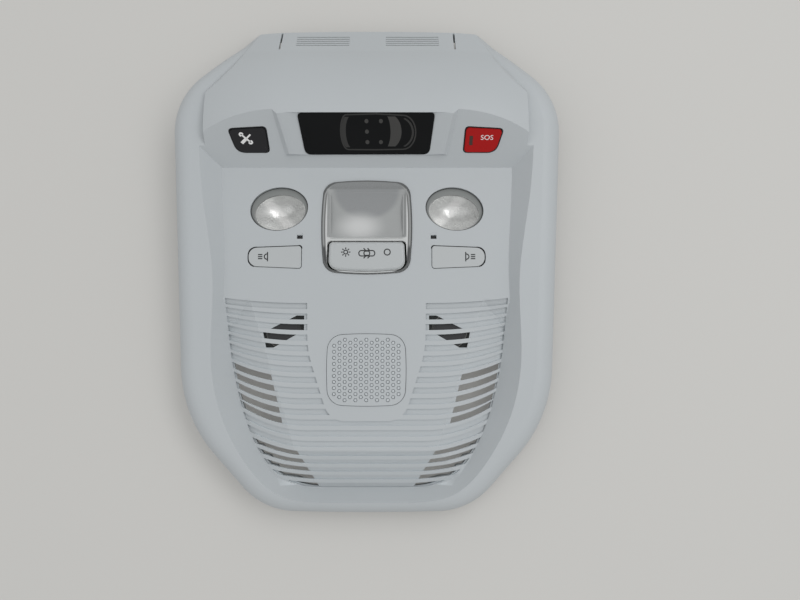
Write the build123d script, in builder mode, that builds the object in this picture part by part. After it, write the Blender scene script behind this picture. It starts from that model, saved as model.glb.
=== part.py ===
"""Car dome light: an overhead console with a domed front, a recessed lamp panel and a louvred rear.

Frame: X across the car, Y towards the windscreen, Z out of the visible face. The back cover rests on Z = 0.
"""
import math
import os

from build123d import *

os.makedirs("parts", exist_ok=True)

# Overall form
LENGTH = 292.0
WIDTH = 235.6
RIM_Z = 6.0
FLOOR_Z = 26.0
CREST_Z = 51.8
WALL = 2.5

# Plan outline, as corners of the right half
FRONT_HALF = 68.0
FRONT_BOW = 1.8
SIDE_FRONT_Y = 99.6
REAR_SIDE_HALF = 110.0
SIDE_REAR_Y = -90.0
REAR_HALF = 61.2
REAR_BOW = 1.2
FRONT_CORNER_R = 8.0
SHOULDER_R = 48.0
HIP_R = 82.0
REAR_CORNER_R = 44.0
SIDE_DRAFT = 8.0

# Flange: a sloping ring with a rounded outer edge, hidden under the dome at its front
FLANGE_REAR_Z = 27.0
FLANGE_FRONT_Z = 36.5
FLANGE_FRONT_Y = 82.0
FLANGE_NOSE_Y = 150.0
FLANGE_NOSE_Z = 4.0
FLANGE_ROUND = 11.0
FLANGE_FRONT_R = 30.0

# Domed front
DOME_HALF = 93.5
DOME_FLAT_HALF = 48.0
DOME_CROWN_R = 110.0
DOME_LEAN = 32.0
DOME_LEAN_Z = 12.0
DOME_BACK_Y = 64.0
DOME_APEX_Y = 80.0
STRIP_TOP_Y = 128.0
STRIP_TOP_Z = 28.5
NOSE_Z = 14.0

# Sloping face under the dome, which carries the display and the two call buttons
FACE_FOOT_Y = 58.0
FACE_ANGLE = 43.0

# Dish around the panel: its valley and its flare, as half-outlines from front to rear, and the panel's fall
VALLEY_Z = 17.0
DISH_ROOT = 6.0
FLARE_Z = 52.0
VALLEY = [
    (75.7, 98.0), (76.1, 35.0), (77.2, -20.0), (75.7, -70.0), (67.8, -97.2), (50.9, -121.6), (23.9, -130.0)
]
FLARE = [
    (115.0, 98.0),
    (113.5, 35.0),
    (104.0, -20.0),
    (107.2, -70.0),
    (97.7, -111.5),
    (70.4, -146.2),
    (26.5, -156.1),
]
OUTWARD = [(1.0, 0.0), (1.0, 0.0), (1.0, 0.0), (0.99, -0.1), (0.9, -0.43), (0.62, -0.78), (0.1, -0.99)]
PANEL_ROOT = [(88.0, 98.0), (88.0, -25.0), (81.5, -70.0), (72.5, -99.5), (52.5, -127.5), (25.0, -135.0)]
HOLLOW_ROOT = [(83.5, 98.0), (83.5, -25.0), (77.0, -70.0), (68.0, -97.0), (49.5, -121.5), (23.5, -130.0)]
CHEEK_LINE = [(61.0, -44.0), (41.2, -107.6)]
CHEEK_TOP_Y = -20.0
CHEEK_FALL = 18.0
FRONT_FALL = 20.0

# Tongue: the raised smooth strip that holds the dome lens and the microphone grille
TONGUE_RISE = 0.8
TONGUE_HALF = 32.5
TONGUE_WAIST_HALF = 31.0
TONGUE_WAIST_Y = -50.0
TONGUE_END_HALF = 19.0
TONGUE_END_Y = -87.6
TONGUE_MARGIN = 3.4
TONGUE_WAIST_R = 60.0
TONGUE_END_R = 9.0

# Louvres
ROWS = 19
ROW_FIRST_Y = -22.4
ROW_PITCH = 6.15
ROW_STEEP_FROM = 14
ROW_STEEP_PITCH = 4.75
GROOVE = 3.5
STEEP_GROOVE = 2.5
GROOVE_DEPTH = 1.4
ROW_STRAIGHT_HALF = 38.0
ROW_BEND_FIRST = 0.003
ROW_BEND_STEP = 0.00095
ROW_BEND_MOST = 11
ROW_BEND_EASE = 0.0011
ROW_BEND_LIMIT = 0.8
ROW_TAPER_FROM = 10
ROW_TAPER = 2.2
ROW_REACH = 86.0
ROW_ENDS = [
    (86.0, 98.0), (85.0, 35.0), (82.8, -20.0), (77.0, -70.0), (68.6, -97.6), (51.4, -122.2), (23.9, -130.5)
]
ROW_EDGE = 1.0
UPPER_SLOT_ROWS = (7, 12)
LOWER_SLOT_ROWS = (14, 19)
SENSOR_ROWS = (1, 5)
UPPER_SLOT_ZONE = [(57.2, -58.0), (48.6, -93.0), (92.0, -93.0), (92.0, -50.0)]
LOWER_SLOT_ZONE = [(43.0, -103.0), (27.0, -131.0), (92.0, -131.0), (92.0, -92.0)]
SENSOR_ZONE = [(36.6, -29.6), (41.0, -29.6), (60.6, -39.6), (58.8, -48.4), (54.4, -48.4), (36.6, -38.2)]

# Fits
PLAY = 0.3
SEAT = 0.1
BUTTON_GAP = 0.35
STROKE = 1.0

# Reading lamps
LAMP_X = 51.8
LAMP_Y = 33.3
LAMP_RX = 17.2
LAMP_RY = 12.9
LAMP_TILT = 8.0
LAMP_LENS_SET = 1.9
LAMP_LIP = 2.0
LAMP_RIM_T = 1.0
REFLECTOR_T = 1.0
LAMP_NECK_R = 4.0

# Dome lens and its switch
DOME_LENS_HALF_X = 26.5
DOME_LENS_TOP_Y = 50.0
DOME_LENS_LOW_Y = -5.3
DOME_LENS_BULGE = 2.0
DOME_LENS_R = 8.0
DOME_LENS_LIP = 1.5
WINDOW_HALF_X = 22.0
WINDOW_TOP_Y = 43.4
WINDOW_LOW_Y = 16.6
WINDOW_R = 3.0
WINDOW_DEPTH = 1.5
WINDOW_BEVEL = 1.2
WINDOW_TOP_BEVEL = 3.4
SCOOP_MARGIN = 0.8
SCOOP_R = 38.0
SCOOP_DEPTH = 2.2
LENS_T = 1.5
SWITCH_HALF_X = 22.7
SWITCH_TOP_Y = 13.8
SWITCH_LOW_Y = -3.6
SWITCH_SIDE_Y = -2.0
SWITCH_DRAFT = 0.6
SWITCH_TOP_R = 2.5
SWITCH_LOW_R = 5.5
SWITCH_EDGE_R = 1.8
SWITCH_SET = 0.4
SWITCH_GAP_X = 1.1
SWITCH_GAP_Y = 0.5
SWITCH_TILT = 6.0
SWITCH_PIVOT_Z = 18.0
SWITCH_PIN_R = 1.2
SWITCH_HUB_R = 2.5
SWITCH_SKIRT_Z = 22.2
SWITCH_WALL = 1.6
SWITCH_WEB_T = 3.2
SWITCH_WEB_LENGTH = 10.0
EAR_T = 2.2
EAR_W = 12.0
EAR_H = 7.0
BAY_HALF_X = 21.5
BAY_LOW_Y = 17.4
BAY_TOP_Y = 44.4
BAY_RIM = 1.4
TRAY_FOOT_W = 30.0
TRAY_FOOT_H = 18.0
TRAY_SLOT_W = 24.0
TRAY_SLOT_H = 8.0

# Reading buttons
READ_INNER_X = 38.5
READ_OUTER_X = 69.3
READ_INNER_TOP_Y = 11.2
READ_INNER_LOW_Y = -1.9
READ_OUTER_TOP_Y = 10.0
READ_OUTER_LOW_Y = -0.6
READ_INNER_R = 1.5
READ_OUTER_R = 5.0
READ_PROUD = 0.5
READ_ROD_X = 54.0
READ_ROD_Y = 4.7
ROD_W = 8.0
ROD_H = 6.0
LIP = 1.0
LIP_T = 1.0
SLEEVE_T = 2.0
SLEEVE_H = 6.0

# Ambient light slots
AMBIENT_X = 39.4
AMBIENT_Y = 17.3
AMBIENT_W = 3.4
AMBIENT_H = 3.6
GUIDE_W = 2.6
GUIDE_H = 1.8
GUIDE_RISE = 0.5

# Light emitters on the boards
LED_W = 3.0
LED_T = 1.2
LED_PITCH = 8.0
LED_ROOM = 0.6
GUIDE_LED_W = 2.0
GUIDE_LED_H = 1.6
GUIDE_LED_T = 0.8
DISPLAY_LED_PITCH = 16.0
DISPLAY_LED_Y = 20.0
DISPLAY_LED_COUNT = 4

# Microphone grille
MIC_HALF_X = 23.0
MIC_TOP_Y = -40.5
MIC_LOW_Y = -82.2
MIC_R = 9.0
MIC_BULGE = 1.2
MIC_SET = 0.3
MIC_GRILLE_T = 1.8
MIC_HOLE_R = 1.2
MIC_COLUMNS = 13
MIC_COLUMN_PITCH = 3.13
MIC_ROW_PITCH = 3.5
MIC_ROWS = 11
MIC_LIP = 1.5
MIC_WALL = 2.0
FELT_T = 1.0
CAPSULE_R = 4.8
CAPSULE_LENGTH = 8.0
CUP_T = 2.0

# Ultrasonic sensors behind the slanted slots
SENSOR_X = 48.6
SENSOR_Y = -38.8
SENSOR_R = 8.6
SENSOR_LENGTH = 9.0
COLLAR_T = 1.4
COLLAR_DEPTH = 6.0

# Display and call buttons, drawn on the sloping face
PLINTH_RISE = 2.0
PLINTH_TOP_HALF = 50.6
PLINTH_LOW_HALF = 44.0
PLINTH_TOP_Y = 40.0
PLINTH_LOW_Y = 5.0
PLINTH_SKIRT = 4.0
FUNNEL_RIM = 1.5
FUNNEL_TOP = 1.0
DISPLAY_TOP_HALF = 38.3
DISPLAY_LOW_HALF = 33.2
DISPLAY_TOP_Y = 35.4
DISPLAY_LOW_Y = 9.6
DISPLAY_R = 2.5
DISPLAY_SET = 0.6
WINDOW_T = 1.8
WINDOW_LEDGE = 1.3
WINDOW_TOP_LEDGE = 2.3
CALL_CORNERS = [(57.6, 26.0), (78.4, 24.8), (75.0, 10.6), (57.0, 10.6)]
CALL_R = 2.0
CALL_ROUND_R = 6.0
CALL_PROUD = 0.6
CALL_ROD_X = 67.0
CALL_ROD_Y = 18.0
INDICATOR_X = 60.6
INDICATOR_W = 2.0
INDICATOR_H = 6.0
INDICATOR_T = 1.0
FRONT_BOARD_DEPTH = 14.0
BOARD_T = 1.6
FRONT_BOARD_HALF = 73.0
FRONT_BOARD_LOW_Y = 5.0
FRONT_BOARD_TOP_Y = 35.0
BOX_T = 1.5
POST_X = 47.5
POST_LOW_Y = 9.0
POST_TOP_Y = 26.0
POST_R = 2.8

# Front clip strip
STRIP_LINE_COUNT = 5
STRIP_LINE_IN = 11.0
STRIP_LINE_OUT = 43.0
STRIP_SLIT_X = 52.5
STRIP_SLIT_W = 1.1
STRIP_SLIT_LENGTH = 19.0
STRIP_LINE_PITCH = 2.4
STRIP_LINE_W = 0.8
STRIP_LINE_DEPTH = 0.5

# Lamp module
PLATE_T = 2.5
PLATE_TOP_Z = 20.9
MODULE_HALF_X = 76.0
MODULE_TOP_Y = 54.0
MODULE_LOW_Y = -12.0
MODULE_R = 6.0
MODULE_WALL = 2.0
SPLIT_Z = 8.5
COVER_T = 2.0
BOARD_TOP_Z = 8.6
SCREW_X = 69.5
SCREW_TOP_Y = 48.0
SCREW_LOW_Y = -6.8
SCREW_R = 1.45
SCREW_HEAD_R = 2.8
SCREW_HEAD_T = 1.8
SCREW_HEAD_SET = 0.6
SCREW_BOSS_R = 3.2
MIC_SCREW_X = 28.5
MIC_SCREW_LENGTH = 3.8
MIC_HOLDER_T = 1.5
SCREW_TIP_Z = 22.6
SMALL_SCREW_R = 1.1
SMALL_HEAD_R = 2.2
SMALL_HEAD_T = 1.4
SMALL_SCREW_LENGTH = 6.0

# Push switches on the boards
KEY_W = 6.0
KEY_H = 3.5
KEY_PLUNGER_R = 1.7
KEY_PLUNGER_RISE = 1.4
KEY_BORE_DEPTH = 2.9

# Slide switch under the dome switch
SLIDE_W = 9.0
SLIDE_D = 4.0
SLIDE_H = 1.6
SLIDE_Y = 3.5
FORK_Z = 11.8
FORK_H = 1.5
FORK_T = 0.9
FORK_D = 2.0
FORK_PLAY = 0.45
TAIL_HALF = 0.9
TAIL_D = 2.4
TAIL_REACH = 0.6

# Connector
SOCKET_X = 53.0
SOCKET_W = 18.0
SOCKET_H = 8.0
SOCKET_LENGTH = 15.0
SOCKET_MOUTH_Y = -18.0
SOCKET_WALL = 1.5
SOCKET_DEPTH = 10.0
CONTACT_W = 0.9
CONTACT_LENGTH = 5.4
CONTACT_PITCH = 2.6
CONTACT_ROW_PITCH = 2.2
CONTACTS = 5

# Fixings to the roof
CLIP_X = 100.0
CLIP_FRONT_Y = 62.0
CLIP_REAR_Y = -58.0
TOWER_T = 2.4
TOWER_W = 10.0
TOWER_TIP_Z = 2.4
TOWER_FRONT_Z = 34.0
TOWER_REAR_Z = 29.4
CLIP_T = 0.6
CLIP_TOP_Z = 17.0
CLIP_BARB = 4.0
CLIP_GRIP = 4.0
CLIP_W = 8.0
CLIP_FIT = 0.05
PIN_X = 101.0
PIN_Y = 18.0
PIN_R = 3.0
PIN_TIP_Z = 2.0
PIN_SHOULDER_Z = 14.0
PIN_BOSS_R = 4.0
PIN_ROOT_Z = 32.0


def face_plane(height=0.0):
    """Plane on the sloping face: X across, Y up the slope, lifted along its normal."""
    turn = math.radians(FACE_ANGLE)
    base = Plane(
        origin=(0, FACE_FOOT_Y, FLOOR_Z), x_dir=(1, 0, 0), z_dir=(0, -math.sin(turn), math.cos(turn))
    )
    return base.offset(height)


def grown(points, amount):
    """Half-outline moved outwards."""
    return [(x + amount * u, y + amount * v) for (x, y), (u, v) in zip(points, OUTWARD)]


def right_half(points, z):
    """Closed level face between a half-outline and the middle."""
    with BuildSketch(Plane.XY.offset(z)) as plan:
        with BuildLine():
            right = Spline(points, tangents=[(0, -1), (-1, 0)])
            Polyline(right @ 1, (0, points[-1][1]), (0, points[0][1]), right @ 0)
        make_face()
    return plan.sketch


def half_outline(points, z):
    """Closed level face through a half-outline and its mirror image."""
    flipped = [(-x, y) for x, y in reversed(points)]
    with BuildSketch(Plane.XY.offset(z)) as plan:
        with BuildLine():
            right = Spline(points, tangents=[(0, -1), (-1, 0)])
            Line(right @ 1, flipped[0])
            left = Spline(flipped, tangents=[(-1, 0), (0, 1)])
            Line(left @ 1, right @ 0)
        make_face()
    return plan.sketch


def outline_face(inset, front_radius):
    """Plan outline of the console, drawn inset by a wall."""
    front_y = LENGTH / 2
    half = WIDTH / 2
    with BuildSketch() as plan:
        with BuildLine():
            front = ThreePointArc(
                (FRONT_HALF, front_y - FRONT_BOW), (0, front_y), (-FRONT_HALF, front_y - FRONT_BOW)
            )
            rear = ThreePointArc(
                (-REAR_HALF, REAR_BOW - front_y), (0, -front_y), (REAR_HALF, REAR_BOW - front_y)
            )
            Polyline(front @ 1, (-half, SIDE_FRONT_Y), (-REAR_SIDE_HALF, SIDE_REAR_Y), rear @ 0)
            Polyline(rear @ 1, (REAR_SIDE_HALF, SIDE_REAR_Y), (half, SIDE_FRONT_Y), front @ 0)
        make_face()
        fillet(plan.vertices().group_by(Axis.Y)[-1], front_radius)
        shoulders = plan.vertices().filter_by_position(Axis.Y, SIDE_FRONT_Y - 1, SIDE_FRONT_Y + 1)
        fillet(shoulders, SHOULDER_R)
        hips = plan.vertices().filter_by_position(Axis.Y, SIDE_REAR_Y - 1, SIDE_REAR_Y + 1)
        fillet(hips, HIP_R)
        fillet(plan.vertices().group_by(Axis.Y)[0], REAR_CORNER_R)
        if inset:
            offset(amount=-inset)
    return plan.sketch


def flange_body(inset, base_z):
    """The outer ring as a filled body, drawn inset by a wall."""
    with BuildPart() as body:
        with BuildSketch(Plane.XY.offset(RIM_Z)):
            add(outline_face(inset, FLANGE_FRONT_R))
        extrude(amount=CREST_Z, taper=SIDE_DRAFT)
        with BuildSketch(Plane.YZ):
            with BuildLine():
                run = Line((-LENGTH, FLANGE_REAR_Z - inset), (-LENGTH / 2, FLANGE_REAR_Z - inset))
                slope = Line(run @ 1, (FLANGE_FRONT_Y, FLANGE_FRONT_Z - inset))
                nose = TangentArc(slope @ 1, (FLANGE_NOSE_Y, FLANGE_NOSE_Z - inset), tangent=slope % 1)
                Polyline(nose @ 1, (LENGTH, -LENGTH / 2), (-LENGTH, -LENGTH / 2), run @ 0)
            make_face()
        extrude(amount=WIDTH, both=True, mode=Mode.INTERSECT)
        upper = body.faces().filter_by(lambda f: f.normal_at(f.center()).Z > 0.3)
        walls = body.faces().filter_by(lambda f: abs(f.normal_at(f.center()).Z) < 0.2)
        shared = set(upper.edges()) & set(walls.edges())
        fillet(shared, FLANGE_ROUND - inset)
        if base_z < RIM_Z:
            with BuildSketch(Plane.XY.offset(base_z)):
                add(outline_face(inset, FLANGE_FRONT_R))
            extrude(amount=RIM_Z - base_z)
    return body.part


def dome_height(y):
    """Height of the dome's centre line."""
    if y > STRIP_TOP_Y:
        rise = (STRIP_TOP_Z - NOSE_Z) / (LENGTH / 2 - STRIP_TOP_Y)
        return STRIP_TOP_Z - (y - STRIP_TOP_Y) * rise
    fall = (CREST_Z - STRIP_TOP_Z) / (STRIP_TOP_Y - DOME_APEX_Y) ** 2
    return CREST_Z - fall * (y - DOME_APEX_Y) ** 2


def dome_section(y, inset, base_z):
    """Cross-section of the dome: a flat middle that runs into round shoulders."""
    half = DOME_HALF - inset
    top = dome_height(y) - inset
    run = half - DOME_FLAT_HALF
    drop = DOME_CROWN_R - math.sqrt(DOME_CROWN_R ** 2 - run ** 2)
    mid_drop = DOME_CROWN_R - math.sqrt(DOME_CROWN_R ** 2 - (run / 2) ** 2)
    across = Plane(origin=(0, y, 0), x_dir=(1, 0, 0), z_dir=(0, -1, 0))
    low = min(base_z, top - drop - 2)
    with BuildSketch(across) as section:
        with BuildLine():
            flat = Line((-DOME_FLAT_HALF, top), (DOME_FLAT_HALF, top))
            ThreePointArc(flat @ 1, (DOME_FLAT_HALF + run / 2, top - mid_drop), (half, top - drop))
            Polyline((half, top - drop), (half, low), (-half, low), (-half, top - drop))
            ThreePointArc((-half, top - drop), (-DOME_FLAT_HALF - run / 2, top - mid_drop), flat @ 0)
        make_face()
    return section.sketch


def dome_body(inset, base_z):
    """The domed front as a filled body, drawn inset by a wall."""
    steps = 3
    span = (STRIP_TOP_Y - DOME_BACK_Y) / steps
    with BuildPart() as body:
        for k in range(steps + 1):
            add(dome_section(DOME_BACK_Y + k * span, inset, base_z - CREST_Z))
        loft()
        add(dome_section(STRIP_TOP_Y, inset, base_z - CREST_Z))
        add(dome_section(LENGTH / 2 + 1, inset, base_z - CREST_Z))
        loft(ruled=True)
        with BuildSketch(Plane.XY.offset(base_z)):
            add(outline_face(inset, FRONT_CORNER_R))
        extrude(amount=2 * CREST_Z, mode=Mode.INTERSECT)
        lean = math.radians(DOME_LEAN)
        slant = math.atan2(WIDTH / 2 - FRONT_HALF, LENGTH / 2 - FRONT_BOW - SIDE_FRONT_Y)
        for side in (-1, 1):
            out_x = side * math.cos(slant)
            out_y = math.sin(slant)
            split(
                bisect_by=Plane(
                    origin=(
                        side * FRONT_HALF - inset * out_x,
                        LENGTH / 2 - FRONT_BOW - inset * out_y,
                        DOME_LEAN_Z,
                    ),
                    z_dir=(out_x * math.cos(lean), out_y * math.cos(lean), math.sin(lean)),
                ),
                keep=Keep.BOTTOM,
            )
    return body.part


def dish_body(grow):
    """The hollow that the panel lies in, bounded in front by the sloping face."""
    turn = math.radians(FACE_ANGLE)
    deeper = DISH_ROOT / (FLARE_Z - VALLEY_Z)
    root = [(vx + (vx - fx) * deeper, vy + (vy - fy) * deeper) for (vx, vy), (fx, fy) in zip(VALLEY, FLARE)]
    with BuildPart() as body:
        add(right_half(grown(root, grow / 2), VALLEY_Z - DISH_ROOT - grow))
        add(right_half(grown(FLARE, grow / 2), FLARE_Z - grow))
        loft(ruled=True)
        mirror(about=Plane.YZ)
        with BuildSketch(Plane.YZ):
            with BuildLine():
                shift = grow / math.sin(turn)
                low = -FLOOR_Z
                high = 2 * CREST_Z
                Polyline(
                    (-LENGTH, low),
                    (FACE_FOOT_Y + shift + (low - FLOOR_Z) / math.tan(turn), low),
                    (FACE_FOOT_Y + shift + (high - FLOOR_Z) / math.tan(turn), high),
                    (-LENGTH, high),
                    close=True,
                )
            make_face()
        extrude(amount=WIDTH, both=True, mode=Mode.INTERSECT)
    return body.part


def cheek_wedge(top):
    """What is taken off the right side of the panel, where it falls outwards and rearwards."""
    fall = math.radians(CHEEK_FALL)
    (x0, y0), (x1, y1) = CHEEK_LINE
    run = math.hypot(x1 - x0, y1 - y0)
    out_x = (y0 - y1) / run
    out_y = (x1 - x0) / run
    with BuildPart() as wedge:
        with BuildSketch(Plane.XY.offset(top - FLOOR_Z)):
            with Locations((WIDTH / 2, 0)):
                Rectangle(WIDTH, LENGTH)
        extrude(amount=2 * FLOOR_Z)
        split(
            bisect_by=Plane(
                origin=(x0, y0, top), z_dir=(out_x * math.sin(fall), out_y * math.sin(fall), math.cos(fall))
            ),
            keep=Keep.TOP,
        )
        split(
            bisect_by=Plane(origin=(0, CHEEK_TOP_Y, top), z_dir=(0, -math.sin(fall), math.cos(fall))),
            keep=Keep.TOP,
        )
    return wedge.part


def panel_body(drop, root):
    """The panel: flat in the middle, with cheeks that fall to the valley, lowered for its underside."""
    fall = math.radians(FRONT_FALL)
    top = FLOOR_Z - drop
    with BuildPart() as body:
        with BuildSketch(Plane.XY.offset(top)):
            with BuildLine():
                Polyline(*root, *[(-x, y) for x, y in reversed(root)], close=True)
            make_face()
        extrude(amount=-FLOOR_Z)
        split(
            bisect_by=Plane(origin=(0, CHEEK_LINE[-1][1], top), z_dir=(0, -math.sin(fall), math.cos(fall))),
            keep=Keep.BOTTOM,
        )
        add(cheek_wedge(top), mode=Mode.SUBTRACT)
        add(cheek_wedge(top).mirror(Plane.YZ), mode=Mode.SUBTRACT)
    return body.part


def level_cut(body, z):
    """Body with everything below a level taken off."""
    with BuildPart() as kept:
        add(body)
        split(bisect_by=Plane.XY.offset(z), keep=Keep.TOP)
    return kept.part


def tongue_face(grow):
    """Plan of the raised strip."""
    with BuildSketch() as plan:
        with BuildLine():
            Polyline(
                (-TONGUE_HALF, FACE_FOOT_Y),
                (TONGUE_HALF, FACE_FOOT_Y),
                (TONGUE_WAIST_HALF, TONGUE_WAIST_Y),
                (TONGUE_END_HALF, TONGUE_END_Y),
                (-TONGUE_END_HALF, TONGUE_END_Y),
                (-TONGUE_WAIST_HALF, TONGUE_WAIST_Y),
                close=True,
            )
        make_face()
        fillet(plan.vertices().group_by(Axis.Y)[1], TONGUE_WAIST_R)
        fillet(plan.vertices().group_by(Axis.Y)[0], TONGUE_END_R)
        if grow:
            offset(amount=grow)
    return plan.sketch


def row_y(row):
    """Upper edge of a louvre row where it runs straight."""
    steep = max(0, row - ROW_STEEP_FROM)
    return ROW_FIRST_Y - (row - steep) * ROW_PITCH - steep * ROW_STEEP_PITCH


def row_face(row):
    """One louvre band: straight in the middle and swept forwards at both ends."""
    eased = ROW_BEND_EASE * max(0, row - ROW_BEND_MOST)
    bend = ROW_BEND_FIRST + ROW_BEND_STEP * min(row, ROW_BEND_MOST) - eased
    radius = 1 / bend
    groove = STEEP_GROOVE if row >= ROW_STEEP_FROM else GROOVE
    start = ROW_STRAIGHT_HALF - ROW_TAPER * max(0, row - ROW_TAPER_FROM)
    run = min(ROW_REACH - start, ROW_BEND_LIMIT * radius)
    rise = radius - math.sqrt(radius ** 2 - run ** 2)
    half_rise = radius - math.sqrt(radius ** 2 - (run / 2) ** 2)
    y = row_y(row)
    with BuildSketch() as band:
        with BuildLine():
            for low in (0, groove):
                Line((-start, y - low), (start, y - low))
                for side in (-1, 1):
                    ThreePointArc(
                        (side * start, y - low),
                        (side * (start + run / 2), y - low + half_rise),
                        (side * (start + run), y - low + rise),
                    )
            for side in (-1, 1):
                Line((side * (start + run), y + rise), (side * (start + run), y + rise - groove))
        make_face()
    return band.sketch


def polygon_face(points, radius=0.0):
    """Closed face through corner points."""
    with BuildSketch() as plan:
        with BuildLine():
            Polyline(*points, close=True)
        make_face()
        if radius:
            fillet(plan.vertices(), radius)
    return plan.sketch


def bulged_face(half_x, low_y, top_y, bulge, radius, grow=0.0):
    """Rounded rectangle whose four sides bow outwards, from arcs that run smoothly into each other."""
    mid_y = (low_y + top_y) / 2
    half_y = (top_y - low_y) / 2
    level_r = (half_x ** 2 + bulge ** 2) / (2 * bulge)
    side_r = (half_y ** 2 + bulge ** 2) / (2 * bulge)
    side_x = half_x - side_r
    level_y = half_y - level_r
    # The corner arc's centre lies where circles about the two side centres meet
    span = math.hypot(side_x, level_y)
    along = ((level_r - radius) ** 2 - (side_r - radius) ** 2 + span ** 2) / (2 * span)
    across = math.sqrt((level_r - radius) ** 2 - along ** 2)
    x = (along * side_x - across * level_y) / span
    y = level_y - (along * level_y + across * side_x) / span
    level_turn = math.atan2(y - level_y, x)
    side_turn = math.atan2(y, x - side_x)
    mid_turn = (level_turn + side_turn) / 2
    reach = radius + grow
    upper = (x + reach * math.cos(level_turn), y + reach * math.sin(level_turn))
    corner = (x + reach * math.cos(mid_turn), y + reach * math.sin(mid_turn))
    outer = (x + reach * math.cos(side_turn), y + reach * math.sin(side_turn))
    with BuildSketch() as plan:
        with BuildLine():
            for sy in (-1, 1):
                ThreePointArc(
                    (-upper[0], mid_y + sy * upper[1]),
                    (0, mid_y + sy * (half_y + grow)),
                    (upper[0], mid_y + sy * upper[1]),
                )
                for sx in (-1, 1):
                    ThreePointArc(*[(sx * px, mid_y + sy * py) for px, py in (upper, corner, outer)])
            for sx in (-1, 1):
                ThreePointArc(
                    (sx * outer[0], mid_y + outer[1]),
                    (sx * (half_x + grow), mid_y),
                    (sx * outer[0], mid_y - outer[1]),
                )
        make_face()
    return plan.sketch


def dome_lens_face(grow=0.0):
    """Plan of the dome lens."""
    return bulged_face(
        DOME_LENS_HALF_X, DOME_LENS_LOW_Y, DOME_LENS_TOP_Y, DOME_LENS_BULGE, DOME_LENS_R, grow
    )


def mic_face(grow=0.0):
    """Plan of the microphone grille."""
    return bulged_face(MIC_HALF_X, MIC_LOW_Y, MIC_TOP_Y, MIC_BULGE, MIC_R, grow)


def switch_face(gap_x=0.0, gap_y=0.0):
    """Plan of the dome switch, drawn larger by a gap for the opening it works in."""
    half = SWITCH_HALF_X + gap_x
    with BuildSketch() as plan:
        with BuildLine():
            Polyline(
                (-half, SWITCH_SIDE_Y - gap_y),
                (-half + SWITCH_DRAFT, SWITCH_TOP_Y + gap_y),
                (half - SWITCH_DRAFT, SWITCH_TOP_Y + gap_y),
                (half, SWITCH_SIDE_Y - gap_y),
            )
            ThreePointArc(
                (half, SWITCH_SIDE_Y - gap_y), (0, SWITCH_LOW_Y - gap_y), (-half, SWITCH_SIDE_Y - gap_y)
            )
        make_face()
        fillet(plan.vertices().group_by(Axis.Y)[-1], SWITCH_TOP_R)
        fillet(plan.vertices().group_by(Axis.Y)[0], SWITCH_LOW_R)
    return plan.sketch


def reading_face(side, grow=0.0):
    """Plan of a reading button: square at its inner end and round at its outer end."""
    with BuildSketch() as plan:
        with BuildLine():
            Polyline(
                (side * READ_INNER_X, READ_INNER_TOP_Y),
                (side * READ_OUTER_X, READ_OUTER_TOP_Y),
                (side * READ_OUTER_X, READ_OUTER_LOW_Y),
                (side * READ_INNER_X, READ_INNER_LOW_Y),
                close=True,
            )
        make_face()
        by_x = plan.vertices().sort_by(lambda v: abs(v.X))
        fillet(by_x[:2], READ_INNER_R)
        fillet(plan.vertices().sort_by(lambda v: abs(v.X))[-2:], READ_OUTER_R)
        if grow:
            offset(amount=grow)
    return plan.sketch


def call_face(side, grow=0.0):
    """Outline of a call button, with a round outer lower corner."""
    with BuildSketch() as plan:
        with BuildLine():
            Polyline(*[(side * x, y) for x, y in CALL_CORNERS], close=True)
        make_face()
        sharp = plan.vertices().sort_by(lambda v: v.Y)
        round_one = max(sharp[:2], key=lambda v: abs(v.X))
        fillet(round_one, CALL_ROUND_R)
        kept = [v for v in plan.vertices() if (abs(v.X), v.Y) in CALL_CORNERS]
        fillet(kept, CALL_R)
        if grow:
            offset(amount=grow)
    return plan.sketch


def trapezium_face(top_half, low_half, top_y, low_y, radius=0.0):
    """Trapezium, wider at its top."""
    points = [(-top_half, top_y), (top_half, top_y), (low_half, low_y), (-low_half, low_y)]
    return polygon_face(points, radius)


def display_face(step=0.0):
    """Outline of the display window, drawn smaller by a step."""
    top_half = DISPLAY_TOP_HALF - step
    low_half = DISPLAY_LOW_HALF - step
    return trapezium_face(top_half, low_half, DISPLAY_TOP_Y - step, DISPLAY_LOW_Y + step, DISPLAY_R)


def display_opening(grow=0.0, radius=0.0):
    """Outline of the opening behind the display window."""
    return trapezium_face(
        DISPLAY_TOP_HALF - WINDOW_LEDGE + grow,
        DISPLAY_LOW_HALF - WINDOW_LEDGE + grow,
        DISPLAY_TOP_Y - WINDOW_TOP_LEDGE + grow,
        DISPLAY_LOW_Y + WINDOW_LEDGE - grow,
        radius,
    )


def window_face(step, top_step):
    """Outline of the dome lens's window, drawn larger by a step."""
    half = WINDOW_HALF_X + step
    low = WINDOW_LOW_Y - step
    top = WINDOW_TOP_Y + top_step
    return polygon_face([(-half, low), (half, low), (half, top), (-half, top)], WINDOW_R)


def lamp_face(side, z, grow=0.0):
    """Oval of a reading lamp, drawn larger or smaller by a step."""
    with BuildSketch(Plane.XY.offset(z)) as plan:
        with Locations((side * LAMP_X, LAMP_Y)):
            Ellipse(LAMP_RX + grow, LAMP_RY + grow, rotation=-side * LAMP_TILT)
    return plan.sketch


def module_face(inset):
    """Plan of the lamp module."""
    half = MODULE_HALF_X - inset
    low = MODULE_LOW_Y + inset
    top = MODULE_TOP_Y - inset
    points = [(-half, low), (half, low), (half, top), (-half, top)]
    return polygon_face(points, max(MODULE_R - inset, MODULE_WALL))


def screw_points():
    """Plan positions of the four module screws."""
    return [(sx * SCREW_X, y) for sx in (-1, 1) for y in (SCREW_LOW_Y, SCREW_TOP_Y)]


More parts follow.
